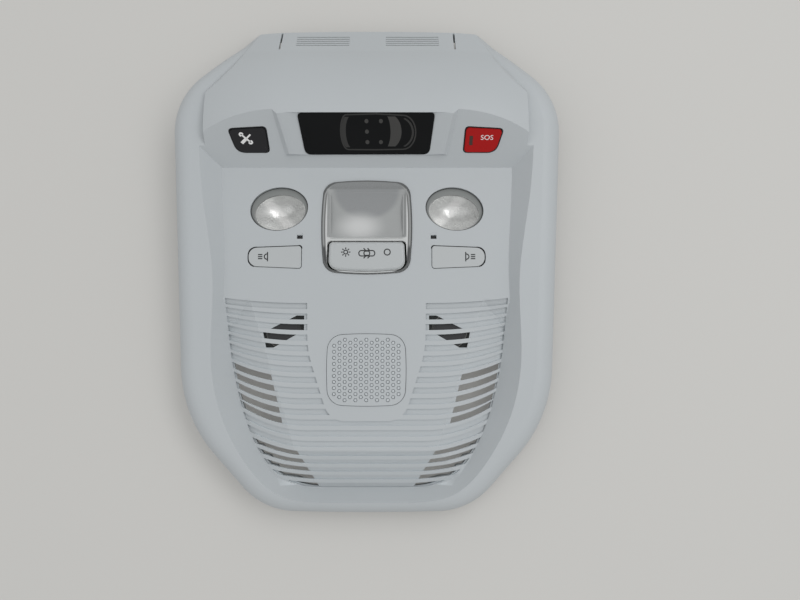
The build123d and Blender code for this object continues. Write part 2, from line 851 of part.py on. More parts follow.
def post_points():
    """Positions of the four front board screws on the sloping face."""
    return [(sx * POST_X, y) for sx in (-1, 1) for y in (POST_LOW_Y, POST_TOP_Y)]


def prism(face, plane, height):
    """Body raised from a face that is drawn on XY and laid on a plane."""
    with BuildPart() as body:
        with BuildSketch(plane):
            add(face)
        extrude(amount=height)
    return body.part


def level(face, z, height):
    """Prism raised from a level."""
    return prism(face, Plane.XY.offset(z), height)


def between(lower, lower_plane, upper, upper_plane):
    """Straight-sided body between two faces drawn on XY and laid on planes."""
    with BuildPart() as body:
        with BuildSketch(lower_plane):
            add(lower)
        with BuildSketch(upper_plane):
            add(upper)
        loft(ruled=True)
    return body.part


def plinth_body():
    """Raised frame of the display, kept within the dome."""
    foot_top_half = PLINTH_TOP_HALF + PLINTH_SKIRT
    foot_low_half = PLINTH_LOW_HALF + PLINTH_SKIRT
    foot = trapezium_face(foot_top_half, foot_low_half, PLINTH_TOP_Y, PLINTH_LOW_Y - PLINTH_SKIRT)
    head = trapezium_face(PLINTH_TOP_HALF, PLINTH_LOW_HALF, PLINTH_TOP_Y, PLINTH_LOW_Y)
    with BuildPart() as body:
        add(between(foot, face_plane(-WALL / 2), head, face_plane(PLINTH_RISE)))
        add(dome_body(0, RIM_Z), mode=Mode.INTERSECT)
    return body.part


def funnel_body():
    """Sloping sides that lead down to the display window."""
    mouth = trapezium_face(
        PLINTH_TOP_HALF - FUNNEL_RIM,
        PLINTH_LOW_HALF - FUNNEL_RIM,
        DISPLAY_TOP_Y + FUNNEL_TOP,
        PLINTH_LOW_Y + FUNNEL_RIM,
    )
    foot = trapezium_face(DISPLAY_TOP_HALF, DISPLAY_LOW_HALF, DISPLAY_TOP_Y, DISPLAY_LOW_Y)
    return between(foot, face_plane(DISPLAY_SET), mouth, face_plane(PLINTH_RISE + SEAT))


def groove_body():
    """All louvre grooves, as deep as the lowered panel lets them be."""
    with BuildPart() as body:
        with BuildSketch(Plane.XY.offset(VALLEY_Z - WALL)):
            for row in range(ROWS):
                add(row_face(row))
            add(half_outline(ROW_ENDS, 0), mode=Mode.INTERSECT)
            add(tongue_face(TONGUE_MARGIN), mode=Mode.SUBTRACT)
        extrude(amount=FLOOR_Z)
        add(panel_body(GROOVE_DEPTH, PANEL_ROOT), mode=Mode.SUBTRACT)
    return body.part


def both_sides_face(zone):
    """A zone and its mirror image."""
    with BuildSketch() as plan:
        for side in (-1, 1):
            add(polygon_face([(side * x, y) for x, y in zone]))
    return plan.sketch


def slot_face(rows, zone):
    """The louvre bands of some rows, inside a zone, that are open right through."""
    with BuildSketch() as plan:
        for row in range(*rows):
            add(row_face(row))
        add(half_outline(grown(ROW_ENDS, -ROW_EDGE), 0), mode=Mode.INTERSECT)
        add(both_sides_face(zone), mode=Mode.INTERSECT)
    return plan.sketch


def key_body(plane, places):
    """Push switch bodies on a board, each with a bore for its plunger."""
    with BuildPart() as body:
        with BuildSketch(plane):
            with Locations(*places):
                Rectangle(KEY_W, KEY_W)
        extrude(amount=KEY_H)
        with BuildSketch(plane.offset(KEY_H)):
            with Locations(*places):
                Circle(KEY_PLUNGER_R + PLAY)
        extrude(amount=-KEY_BORE_DEPTH, mode=Mode.SUBTRACT)
    return body.part


def plunger_body(plane, place):
    """The plunger of a push switch, as far down its bore as leaves room for the stroke."""
    foot = KEY_H - KEY_BORE_DEPTH + STROKE + PLAY
    with BuildPart() as body:
        with BuildSketch(plane.offset(foot)):
            with Locations(place):
                Circle(KEY_PLUNGER_R)
        extrude(amount=KEY_H + KEY_PLUNGER_RISE - foot)
    return body.part


def save(builder, label):
    """Name a finished piece and write its file."""
    builder.part.label = label
    export_step(builder.part, f"parts/{label}.step")


FLOOR_BACK_Z = FLOOR_Z - WALL
TONGUE_Z = FLOOR_Z + TONGUE_RISE
MIC_MID_Y = (MIC_TOP_Y + MIC_LOW_Y) / 2
MIC_SCREWS = [(-MIC_SCREW_X, MIC_MID_Y), (MIC_SCREW_X, MIC_MID_Y)]
STRIP_TURN = math.atan2(STRIP_TOP_Z - NOSE_Z, LENGTH / 2 - STRIP_TOP_Y)
STRIP = Plane(
    origin=(0, (LENGTH / 2 + STRIP_TOP_Y) / 2, (STRIP_TOP_Z + NOSE_Z) / 2),
    x_dir=(1, 0, 0),
    z_dir=(0, math.sin(STRIP_TURN), math.cos(STRIP_TURN)),
)

with BuildPart() as hollow:
    add(flange_body(WALL, -WALL))
    add(dome_body(WALL, -WALL))
    add(dish_body(WALL), mode=Mode.SUBTRACT)
    add(panel_body(WALL, HOLLOW_ROOT))

with BuildPart() as bezel:
    add(flange_body(0, RIM_Z))
    add(dome_body(0, RIM_Z))
    add(dish_body(0), mode=Mode.SUBTRACT)
    add(level_cut(panel_body(0, PANEL_ROOT), RIM_Z + WALL))
    add(hollow.part, mode=Mode.SUBTRACT)
    # Raised tongue
    with BuildSketch(Plane.XY.offset(FLOOR_Z)):
        add(tongue_face(0))
    extrude(amount=TONGUE_RISE, taper=45)
    # Display: its raised frame, the sides that lead down to it, the window's seat and the opening behind
    add(plinth_body())
    add(funnel_body(), mode=Mode.SUBTRACT)
    add(prism(display_face(), face_plane(DISPLAY_SET - WINDOW_T), 2 * PLINTH_RISE), mode=Mode.SUBTRACT)
    add(prism(display_opening(0, DISPLAY_R), face_plane(0), -2 * WALL), mode=Mode.SUBTRACT)
    # Posts for the front board, then call button openings
    with BuildSketch(face_plane(-WALL / 2)):
        with Locations(*post_points()):
            Circle(POST_R)
    extrude(amount=WALL / 2 - FRONT_BOARD_DEPTH)
    with BuildSketch(face_plane(-FRONT_BOARD_DEPTH)):
        with Locations(*post_points()):
            Circle(SMALL_SCREW_R)
    extrude(amount=SMALL_SCREW_LENGTH, mode=Mode.SUBTRACT)
    for side in (-1, 1):
        add(prism(call_face(side, BUTTON_GAP), face_plane(WALL), -3 * WALL), mode=Mode.SUBTRACT)
    # Louvres: shallow grooves all over, open slots on the cheeks and in front of the sensors
    add(groove_body(), mode=Mode.SUBTRACT)
    with BuildSketch(Plane.XY.offset(RIM_Z)):
        add(slot_face(UPPER_SLOT_ROWS, UPPER_SLOT_ZONE))
        add(slot_face(LOWER_SLOT_ROWS, LOWER_SLOT_ZONE))
        add(slot_face(SENSOR_ROWS, SENSOR_ZONE))
    extrude(amount=CREST_Z, mode=Mode.SUBTRACT)
    # Openings in the panel
    with BuildSketch(Plane.XY.offset(RIM_Z)):
        add(dome_lens_face(PLAY))
        add(mic_face(PLAY))
        for side in (-1, 1):
            add(lamp_face(side, 0))
            add(reading_face(side, BUTTON_GAP))
    extrude(amount=CREST_Z / 2, mode=Mode.SUBTRACT)
    for side in (-1, 1):
        with BuildSketch(Plane.YZ.offset(side * AMBIENT_X)):
            with BuildLine():
                low = AMBIENT_Y - AMBIENT_H / 2
                Polyline(
                    (low, FLOOR_BACK_Z - WALL),
                    (low, FLOOR_Z + WALL),
                    (low + AMBIENT_H + WALL, FLOOR_Z + WALL),
                    (low + AMBIENT_H, FLOOR_Z),
                    (low + GUIDE_H + PLAY, FLOOR_BACK_Z + GUIDE_RISE),
                    (low + GUIDE_H + PLAY, FLOOR_BACK_Z - WALL),
                    close=True,
                )
            make_face()
        extrude(amount=AMBIENT_W / 2, both=True, mode=Mode.SUBTRACT)
    # Screw bosses, sensor collars and microphone bosses under the panel
    with BuildSketch(Plane.XY.offset(PLATE_TOP_Z)):
        with Locations(*screw_points()):
            Circle(SCREW_BOSS_R)
    extrude(amount=FLOOR_BACK_Z - PLATE_TOP_Z + WALL / 2)
    with BuildSketch(Plane.XY.offset(PLATE_TOP_Z)):
        with Locations(*screw_points()):
            Circle(SCREW_R)
    extrude(amount=SCREW_TIP_Z - PLATE_TOP_Z + SEAT, mode=Mode.SUBTRACT)
    with BuildSketch(Plane.XY.offset(FLOOR_BACK_Z)):
        with Locations((-SENSOR_X, SENSOR_Y), (SENSOR_X, SENSOR_Y)):
            Circle(SENSOR_R + SEAT + COLLAR_T)
            Circle(SENSOR_R + SEAT, mode=Mode.SUBTRACT)
    extrude(amount=-COLLAR_DEPTH)
    with BuildSketch(Plane.XY.offset(FLOOR_BACK_Z + WALL / 2)):
        with Locations(*MIC_SCREWS):
            Circle(POST_R - PLAY)
    extrude(amount=-WALL / 2 - LIP_T)
    with BuildSketch(Plane.XY.offset(FLOOR_BACK_Z - LIP_T)):
        with Locations(*MIC_SCREWS):
            Circle(SMALL_SCREW_R)
    extrude(amount=MIC_SCREW_LENGTH - MIC_HOLDER_T + SEAT, mode=Mode.SUBTRACT)
    # Front strip: two slits that free a springy tab, and fine moulded lines
    with BuildSketch(STRIP.offset(WALL)):
        with Locations((-STRIP_SLIT_X, 0), (STRIP_SLIT_X, 0)):
            Rectangle(STRIP_SLIT_W, STRIP_SLIT_LENGTH)
    extrude(amount=-3 * WALL, mode=Mode.SUBTRACT)
    with BuildSketch(STRIP):
        with GridLocations(STRIP_LINE_IN + STRIP_LINE_OUT, STRIP_LINE_PITCH, 2, STRIP_LINE_COUNT):
            Rectangle(STRIP_LINE_OUT - STRIP_LINE_IN, STRIP_LINE_W)
    extrude(amount=-STRIP_LINE_DEPTH, mode=Mode.SUBTRACT)
    # Clip towers and locating pins under the flange
    for y, top_z in ((CLIP_FRONT_Y, TOWER_FRONT_Z), (CLIP_REAR_Y, TOWER_REAR_Z)):
        with BuildSketch(Plane.XY.offset(TOWER_TIP_Z)):
            with Locations((-CLIP_X, y), (CLIP_X, y)):
                Rectangle(TOWER_T, TOWER_W)
        extrude(amount=top_z - TOWER_TIP_Z)
    with BuildSketch(Plane.XY.offset(PIN_TIP_Z)):
        with Locations((-PIN_X, PIN_Y), (PIN_X, PIN_Y)):
            Circle(PIN_R)
    extrude(amount=PIN_SHOULDER_Z - PIN_TIP_Z)
    with BuildSketch(Plane.XY.offset(PIN_SHOULDER_Z)):
        with Locations((-PIN_X, PIN_Y), (PIN_X, PIN_Y)):
            Circle(PIN_BOSS_R)
    extrude(amount=PIN_ROOT_Z - PIN_SHOULDER_Z)
save(bezel, "bezel")

# Microphone behind its perforated grille
LIP_BACK_Z = FLOOR_BACK_Z - LIP_T
GRILLE_TOP_Z = TONGUE_Z - MIC_SET
FELT_Z = GRILLE_TOP_Z - MIC_GRILLE_T - FELT_T
HOLES = [
    (across * MIC_COLUMN_PITCH, MIC_MID_Y + (row - (MIC_ROWS - 1 - across % 2) / 2) * MIC_ROW_PITCH)
    for across in range(-(MIC_COLUMNS // 2), MIC_COLUMNS // 2 + 1)
    for row in range(MIC_ROWS - across % 2)
    if abs(across) < MIC_COLUMNS // 2 or 0 < row < MIC_ROWS - 1
]

with BuildPart() as microphone_grille:
    add(level(mic_face(0), FLOOR_BACK_Z, GRILLE_TOP_Z - FLOOR_BACK_Z))
    add(level(mic_face(MIC_LIP), LIP_BACK_Z, LIP_T))
    add(level(mic_face(-MIC_WALL), LIP_BACK_Z, GRILLE_TOP_Z - MIC_GRILLE_T - LIP_BACK_Z), mode=Mode.SUBTRACT)
    with BuildSketch(Plane.XY.offset(GRILLE_TOP_Z)):
        with Locations(*HOLES):
            RegularPolygon(MIC_HOLE_R, 6)
    extrude(amount=-2 * MIC_GRILLE_T, mode=Mode.SUBTRACT)
save(microphone_grille, "microphone_grille")

with BuildPart() as acoustic_felt:
    add(level(mic_face(-MIC_WALL - PLAY), FELT_Z, FELT_T))
save(acoustic_felt, "acoustic_felt")

with BuildPart() as microphone_holder:
    add(level(mic_face(MIC_LIP), LIP_BACK_Z - MIC_HOLDER_T, MIC_HOLDER_T))
    add(level(mic_face(-MIC_WALL - PLAY), LIP_BACK_Z - MIC_HOLDER_T, FELT_Z - LIP_BACK_Z + MIC_HOLDER_T))
    with BuildSketch(Plane.XY.offset(LIP_BACK_Z - MIC_HOLDER_T)):
        with Locations((0, MIC_MID_Y)):
            SlotCenterToCenter(2 * MIC_SCREW_X, 2 * POST_R)
    extrude(amount=MIC_HOLDER_T)
    with BuildSketch(Plane.XY.offset(LIP_BACK_Z)):
        with Locations((0, MIC_MID_Y)):
            Circle(CAPSULE_R + CUP_T)
    extrude(amount=FELT_Z - CAPSULE_LENGTH - LIP_BACK_Z)
    with BuildSketch(Plane.XY.offset(FELT_Z)):
        with Locations((0, MIC_MID_Y)):
            Circle(CAPSULE_R + SEAT)
    extrude(amount=-CAPSULE_LENGTH, mode=Mode.SUBTRACT)
    with BuildSketch(Plane.XY.offset(LIP_BACK_Z)):
        with Locations(*MIC_SCREWS):
            Circle(SMALL_SCREW_R + SEAT)
    extrude(amount=-MIC_HOLDER_T, mode=Mode.SUBTRACT)
save(microphone_holder, "microphone_holder")

with BuildPart() as microphone_capsule:
    with BuildSketch(Plane.XY.offset(FELT_Z)):
        with Locations((0, MIC_MID_Y)):
            Circle(CAPSULE_R)
    extrude(amount=-CAPSULE_LENGTH)
save(microphone_capsule, "microphone_capsule")

with BuildPart() as microphone_screws:
    with BuildSketch(Plane.XY.offset(LIP_BACK_Z - MIC_HOLDER_T)):
        with Locations(*MIC_SCREWS):
            Circle(SMALL_HEAD_R)
    extrude(amount=-SMALL_HEAD_T)
    with BuildSketch(Plane.XY.offset(LIP_BACK_Z - MIC_HOLDER_T - SMALL_HEAD_T)):
        with Locations(*MIC_SCREWS):
            Circle(SMALL_SCREW_R)
    extrude(amount=SMALL_HEAD_T + MIC_SCREW_LENGTH)
save(microphone_screws, "microphone_screws")

for side, hand in ((-1, "left"), (1, "right")):
    with BuildPart() as sensor:
        with BuildSketch(Plane.XY.offset(FLOOR_BACK_Z)):
            with Locations((side * SENSOR_X, SENSOR_Y)):
                Circle(SENSOR_R)
        extrude(amount=-SENSOR_LENGTH)
    save(sensor, f"{hand}_ultrasonic_sensor")

# Display in the sloping face
with BuildPart() as display_window:
    add(prism(display_face(SEAT), face_plane(DISPLAY_SET - WINDOW_T), WINDOW_T - SEAT))
save(display_window, "display_window")

with BuildPart() as display_light_box:
    add(prism(display_opening(BOX_T), face_plane(-FRONT_BOARD_DEPTH), FRONT_BOARD_DEPTH - WALL))
    add(prism(display_opening(), face_plane(-FRONT_BOARD_DEPTH), FRONT_BOARD_DEPTH), mode=Mode.SUBTRACT)
save(display_light_box, "display_light_box")

with BuildPart() as front_board:
    with BuildSketch(face_plane(-FRONT_BOARD_DEPTH)):
        with Locations((0, (FRONT_BOARD_LOW_Y + FRONT_BOARD_TOP_Y) / 2)):
            Rectangle(2 * FRONT_BOARD_HALF, FRONT_BOARD_TOP_Y - FRONT_BOARD_LOW_Y)
        with Locations(*post_points()):
            Circle(SMALL_SCREW_R + SEAT, mode=Mode.SUBTRACT)
    extrude(amount=-BOARD_T)
save(front_board, "front_board")

with BuildPart() as display_leds:
    with BuildSketch(face_plane(-FRONT_BOARD_DEPTH)):
        with Locations((0, DISPLAY_LED_Y)):
            with GridLocations(DISPLAY_LED_PITCH, 0, DISPLAY_LED_COUNT, 1):
                Rectangle(LED_W, LED_W)
    extrude(amount=LED_T)
save(display_leds, "display_leds")

with BuildPart() as board_screws:
    with BuildSketch(face_plane(-FRONT_BOARD_DEPTH - BOARD_T)):
        with Locations(*post_points()):
            Circle(SMALL_HEAD_R)
    extrude(amount=-SMALL_HEAD_T)
    with BuildSketch(face_plane(-FRONT_BOARD_DEPTH - BOARD_T - SMALL_HEAD_T)):
        with Locations(*post_points()):
            Circle(SMALL_SCREW_R)
    extrude(amount=SMALL_HEAD_T + SMALL_SCREW_LENGTH)
save(board_screws, "board_screws")

# Call buttons in the sloping face
CALL_LIP_TOP = -WALL - PLAY
CALL_KEY_TOP = KEY_H + KEY_PLUNGER_RISE - FRONT_BOARD_DEPTH
CALL_PLANE = face_plane(-FRONT_BOARD_DEPTH)

with BuildPart() as call_switches:
    add(key_body(CALL_PLANE, [(-CALL_ROD_X, CALL_ROD_Y), (CALL_ROD_X, CALL_ROD_Y)]))
save(call_switches, "call_switches")

for side, name in ((-1, "assistance"), (1, "emergency")):
    with BuildPart() as call_button:
        add(prism(call_face(side), face_plane(CALL_LIP_TOP - LIP_T), CALL_PROUD - CALL_LIP_TOP + LIP_T))
        add(prism(call_face(side, LIP), face_plane(CALL_LIP_TOP), -LIP_T))
        with BuildSketch(face_plane(CALL_LIP_TOP)):
            with Locations((side * CALL_ROD_X, CALL_ROD_Y)):
                Rectangle(ROD_W, ROD_H)
        extrude(amount=CALL_KEY_TOP - CALL_LIP_TOP)
        if name == "emergency":
            with BuildSketch(face_plane(CALL_PROUD)):
                with Locations((INDICATOR_X, CALL_ROD_Y)):
                    Rectangle(INDICATOR_W, INDICATOR_H)
            extrude(amount=-INDICATOR_T, mode=Mode.SUBTRACT)
    save(call_button, f"{name}_button")
    with BuildPart() as call_plunger:
        add(plunger_body(CALL_PLANE, (side * CALL_ROD_X, CALL_ROD_Y)))
    save(call_plunger, f"{name}_plunger")

with BuildPart() as emergency_indicator:
    with BuildSketch(face_plane(CALL_PROUD - INDICATOR_T)):
        with Locations((INDICATOR_X, CALL_ROD_Y)):
            Rectangle(INDICATOR_W - SEAT, INDICATOR_H - SEAT)
    extrude(amount=INDICATOR_T)
save(emergency_indicator, "emergency_indicator")

# Reading lamps and their buttons, and the light guides of the ambient slots
BOARD_PLANE = Plane.XY.offset(BOARD_TOP_Z)
READ_LIP_TOP_Z = FLOOR_BACK_Z - PLAY
READ_KEY_TOP_Z = BOARD_TOP_Z + KEY_H + KEY_PLUNGER_RISE
LAMP_RIM_Z = PLATE_TOP_Z + LAMP_RIM_T
LAMP_FOOT_Z = BOARD_TOP_Z + LED_T + LED_ROOM
GUIDE_FOOT_Z = BOARD_TOP_Z + GUIDE_LED_T
GUIDE_Y = AMBIENT_Y - AMBIENT_H / 2 + (GUIDE_H + PLAY) / 2

with BuildPart() as reading_switches:
    add(key_body(BOARD_PLANE, [(-READ_ROD_X, READ_ROD_Y), (READ_ROD_X, READ_ROD_Y)]))
save(reading_switches, "reading_switches")

for side, hand in ((-1, "left"), (1, "right")):
    with BuildPart() as reading_button:
        add(level(reading_face(side), READ_LIP_TOP_Z - LIP_T, FLOOR_Z + READ_PROUD - READ_LIP_TOP_Z + LIP_T))
        add(level(reading_face(side, LIP), READ_LIP_TOP_Z - LIP_T, LIP_T))
        with BuildSketch(Plane.XY.offset(READ_LIP_TOP_Z)):
            with Locations((side * READ_ROD_X, READ_ROD_Y)):
                Rectangle(ROD_W, ROD_H)
        extrude(amount=READ_KEY_TOP_Z - READ_LIP_TOP_Z)
    save(reading_button, f"{hand}_reading_button")
    with BuildPart() as reading_plunger:
        add(plunger_body(BOARD_PLANE, (side * READ_ROD_X, READ_ROD_Y)))
    save(reading_plunger, f"{hand}_reading_plunger")
    with BuildPart() as lamp_lens:
        add(lamp_face(side, LAMP_RIM_Z, LAMP_LIP))
        extrude(amount=FLOOR_BACK_Z - LAMP_RIM_Z)
        add(lamp_face(side, LAMP_RIM_Z, -PLAY))
        extrude(amount=FLOOR_Z - LAMP_LENS_SET - LAMP_RIM_Z)
    save(lamp_lens, f"{hand}_lamp_lens")
    with BuildPart() as reflector:
        add(lamp_face(side, LAMP_RIM_Z, PLAY))
        with BuildSketch(Plane.XY.offset(LAMP_FOOT_Z)):
            with Locations((side * LAMP_X, LAMP_Y)):
                Circle(LAMP_NECK_R + REFLECTOR_T)
        loft()
        add(lamp_face(side, PLATE_TOP_Z, LAMP_LIP))
        extrude(amount=LAMP_RIM_T)
        add(lamp_face(side, LAMP_RIM_Z, PLAY - REFLECTOR_T))
        with BuildSketch(Plane.XY.offset(LAMP_FOOT_Z + REFLECTOR_T)):
            with Locations((side * LAMP_X, LAMP_Y)):
                Circle(LAMP_NECK_R)
        loft(mode=Mode.SUBTRACT)
        with BuildSketch(Plane.XY.offset(LAMP_FOOT_Z)):
            with Locations((side * LAMP_X, LAMP_Y)):
                Circle(LAMP_NECK_R - REFLECTOR_T)
        extrude(amount=2 * REFLECTOR_T, mode=Mode.SUBTRACT)
    save(reflector, f"{hand}_reflector")
    with BuildPart() as light_guide:
        with BuildSketch(Plane.XY.offset(GUIDE_FOOT_Z)):
            with Locations((side * AMBIENT_X, GUIDE_Y)):
                Rectangle(GUIDE_W, GUIDE_H)
        extrude(amount=FLOOR_BACK_Z + GUIDE_RISE - GUIDE_FOOT_Z)
    save(light_guide, f"{hand}_light_guide")

# Dome lens, its reflector and its rocking switch
LENS_POCKET_Z = TONGUE_Z - WINDOW_DEPTH
LENS_UNDER_Z = LENS_POCKET_Z - SCOOP_DEPTH - LENS_T
WINDOW_MID_Y = (WINDOW_TOP_Y + WINDOW_LOW_Y) / 2
WINDOW_H = WINDOW_TOP_Y - WINDOW_LOW_Y
BAY_MID_Y = (BAY_LOW_Y + BAY_TOP_Y) / 2
BAY_W = 2 * BAY_HALF_X
BAY_H = BAY_TOP_Y - BAY_LOW_Y

with BuildPart() as dome_lens:
    add(level(dome_lens_face(), PLATE_TOP_Z, TONGUE_Z - PLATE_TOP_Z))
    add(level(dome_lens_face(DOME_LENS_LIP), PLATE_TOP_Z, FLOOR_BACK_Z - PLATE_TOP_Z))
    with BuildSketch(Plane.XY.offset(LENS_POCKET_Z)):
        add(window_face(0, 0))
    with BuildSketch(Plane.XY.offset(TONGUE_Z)):
        add(window_face(WINDOW_BEVEL, WINDOW_TOP_BEVEL))
    loft(ruled=True, mode=Mode.SUBTRACT)
    with BuildSketch(Plane.YZ):
        with Locations((WINDOW_MID_Y, LENS_POCKET_Z + SCOOP_R - SCOOP_DEPTH)):
            Circle(SCOOP_R)
        with Locations((WINDOW_MID_Y, LENS_POCKET_Z)):
            Rectangle(WINDOW_H - 2 * SCOOP_MARGIN, 2 * SCOOP_DEPTH + SEAT, mode=Mode.INTERSECT)
    extrude(amount=WINDOW_HALF_X - SCOOP_MARGIN, both=True, mode=Mode.SUBTRACT)
    with BuildSketch(Plane.XY.offset(PLATE_TOP_Z)):
        with Locations((0, BAY_MID_Y)):
            Rectangle(BAY_W + 2 * BAY_RIM + PLAY, BAY_H + 2 * BAY_RIM + PLAY)
    extrude(amount=LENS_UNDER_Z - PLATE_TOP_Z, mode=Mode.SUBTRACT)
    add(level(switch_face(SWITCH_GAP_X, SWITCH_GAP_Y), PLATE_TOP_Z, CREST_Z), mode=Mode.SUBTRACT)
save(dome_lens, "dome_lens")

with BuildPart() as dome_reflector:
    with BuildSketch(Plane.XY.offset(PLATE_TOP_Z)):
        with Locations((0, BAY_MID_Y)):
            Rectangle(BAY_W - 2 * PLAY, BAY_H - 2 * PLAY)
    with BuildSketch(Plane.XY.offset(LAMP_FOOT_Z)):
        with Locations((0, BAY_MID_Y)):
            Rectangle(TRAY_FOOT_W, TRAY_FOOT_H)
    loft(ruled=True)
    with BuildSketch(Plane.XY.offset(PLATE_TOP_Z)):
        with Locations((0, BAY_MID_Y)):
            Rectangle(BAY_W + 2 * BAY_RIM, BAY_H + 2 * BAY_RIM)
    extrude(amount=LENS_UNDER_Z - PLATE_TOP_Z)
    with BuildSketch(Plane.XY.offset(LENS_UNDER_Z)):
        with Locations((0, BAY_MID_Y)):
            Rectangle(BAY_W - 2 * PLAY - 2 * REFLECTOR_T, BAY_H - 2 * PLAY - 2 * REFLECTOR_T)
    with BuildSketch(Plane.XY.offset(LAMP_FOOT_Z + REFLECTOR_T)):
        with Locations((0, BAY_MID_Y)):
            Rectangle(TRAY_FOOT_W - 2 * REFLECTOR_T, TRAY_FOOT_H - 2 * REFLECTOR_T)
    loft(ruled=True, mode=Mode.SUBTRACT)
    with BuildSketch(Plane.XY.offset(LAMP_FOOT_Z)):
        with Locations((0, BAY_MID_Y)):
            Rectangle(TRAY_SLOT_W, TRAY_SLOT_H)
    extrude(amount=2 * REFLECTOR_T, mode=Mode.SUBTRACT)
save(dome_reflector, "dome_reflector")

EAR_REAR_Y = SWITCH_LOW_Y - SWITCH_GAP_Y - PLAY
EAR_FRONT_Y = SWITCH_TOP_Y + SWITCH_GAP_Y + PLAY
SWITCH_TOP_Z = TONGUE_Z - SWITCH_SET

with BuildPart() as dome_switch:
    add(level(switch_face(), SWITCH_SKIRT_Z, SWITCH_TOP_Z - SWITCH_SKIRT_Z))
    fillet(dome_switch.faces().sort_by(Axis.Z)[-1].edges(), SWITCH_EDGE_R)
    with BuildSketch(Plane.XY.offset(SWITCH_SKIRT_Z)):
        add(switch_face())
        offset(amount=-SWITCH_WALL, mode=Mode.REPLACE)
    extrude(amount=SWITCH_TOP_Z - SWITCH_SKIRT_Z - SWITCH_WALL, mode=Mode.SUBTRACT)
    with BuildSketch(Plane.XZ.offset(PLAY - EAR_FRONT_Y)):
        with Locations((0, SWITCH_PIVOT_Z)):
            Circle(SWITCH_HUB_R)
    extrude(amount=EAR_FRONT_Y - EAR_REAR_Y - 2 * PLAY)
    with BuildSketch(Plane.XZ.offset(-EAR_FRONT_Y - EAR_T)):
        with Locations((0, SWITCH_PIVOT_Z)):
            Circle(SWITCH_PIN_R)
    extrude(amount=EAR_FRONT_Y - EAR_REAR_Y + 2 * EAR_T)
    with BuildSketch(Plane.XY.offset(SWITCH_PIVOT_Z)):
        with Locations((0, SLIDE_Y)):
            Rectangle(SWITCH_WEB_T, SWITCH_WEB_LENGTH)
    extrude(amount=SWITCH_TOP_Z - SWITCH_WALL / 2 - SWITCH_PIVOT_Z)
    with BuildSketch(Plane.XY.offset(FORK_Z - TAIL_REACH)):
        with Locations((0, SLIDE_Y)):
            Rectangle(2 * TAIL_HALF, TAIL_D)
    extrude(amount=SWITCH_PIVOT_Z - FORK_Z + TAIL_REACH)
save(dome_switch, "dome_switch")

FORK_GAP = TAIL_HALF + FORK_PLAY
FORK_HALF = FORK_GAP + FORK_T
SLIDE_TRAVEL = (SWITCH_PIVOT_Z - FORK_Z) * math.radians(SWITCH_TILT)
SLIDE_TOP_Z = BOARD_TOP_Z + SLIDE_H
KNOB_FOOT_Z = SLIDE_TOP_Z - SLIDE_H / 2 + PLAY

with BuildPart() as slide_switch:
    with BuildSketch(BOARD_PLANE):
        with Locations((0, SLIDE_Y)):
            Rectangle(SLIDE_W, SLIDE_D)
    extrude(amount=SLIDE_H)
    with BuildSketch(Plane.XY.offset(SLIDE_TOP_Z)):
        with Locations((0, SLIDE_Y)):
            Rectangle(2 * (FORK_HALF + SLIDE_TRAVEL + PLAY), FORK_D + 2 * PLAY)
    extrude(amount=-SLIDE_H / 2, mode=Mode.SUBTRACT)
save(slide_switch, "slide_switch")

with BuildPart() as slide_knob:
    with BuildSketch(Plane.XY.offset(KNOB_FOOT_Z)):
        with Locations((0, SLIDE_Y)):
            Rectangle(2 * FORK_HALF, FORK_D)
    extrude(amount=FORK_Z + TAIL_REACH - KNOB_FOOT_Z)
    with BuildSketch(Plane.XY.offset(FORK_Z + TAIL_REACH)):
        with Locations((0, SLIDE_Y)):
            Rectangle(2 * FORK_GAP, FORK_D)
    extrude(amount=-FORK_H, mode=Mode.SUBTRACT)
save(slide_knob, "slide_knob")

# Lamp module: carrier, circuit board, connector, back cover and screws
RODS = [(-READ_ROD_X, READ_ROD_Y), (READ_ROD_X, READ_ROD_Y)]

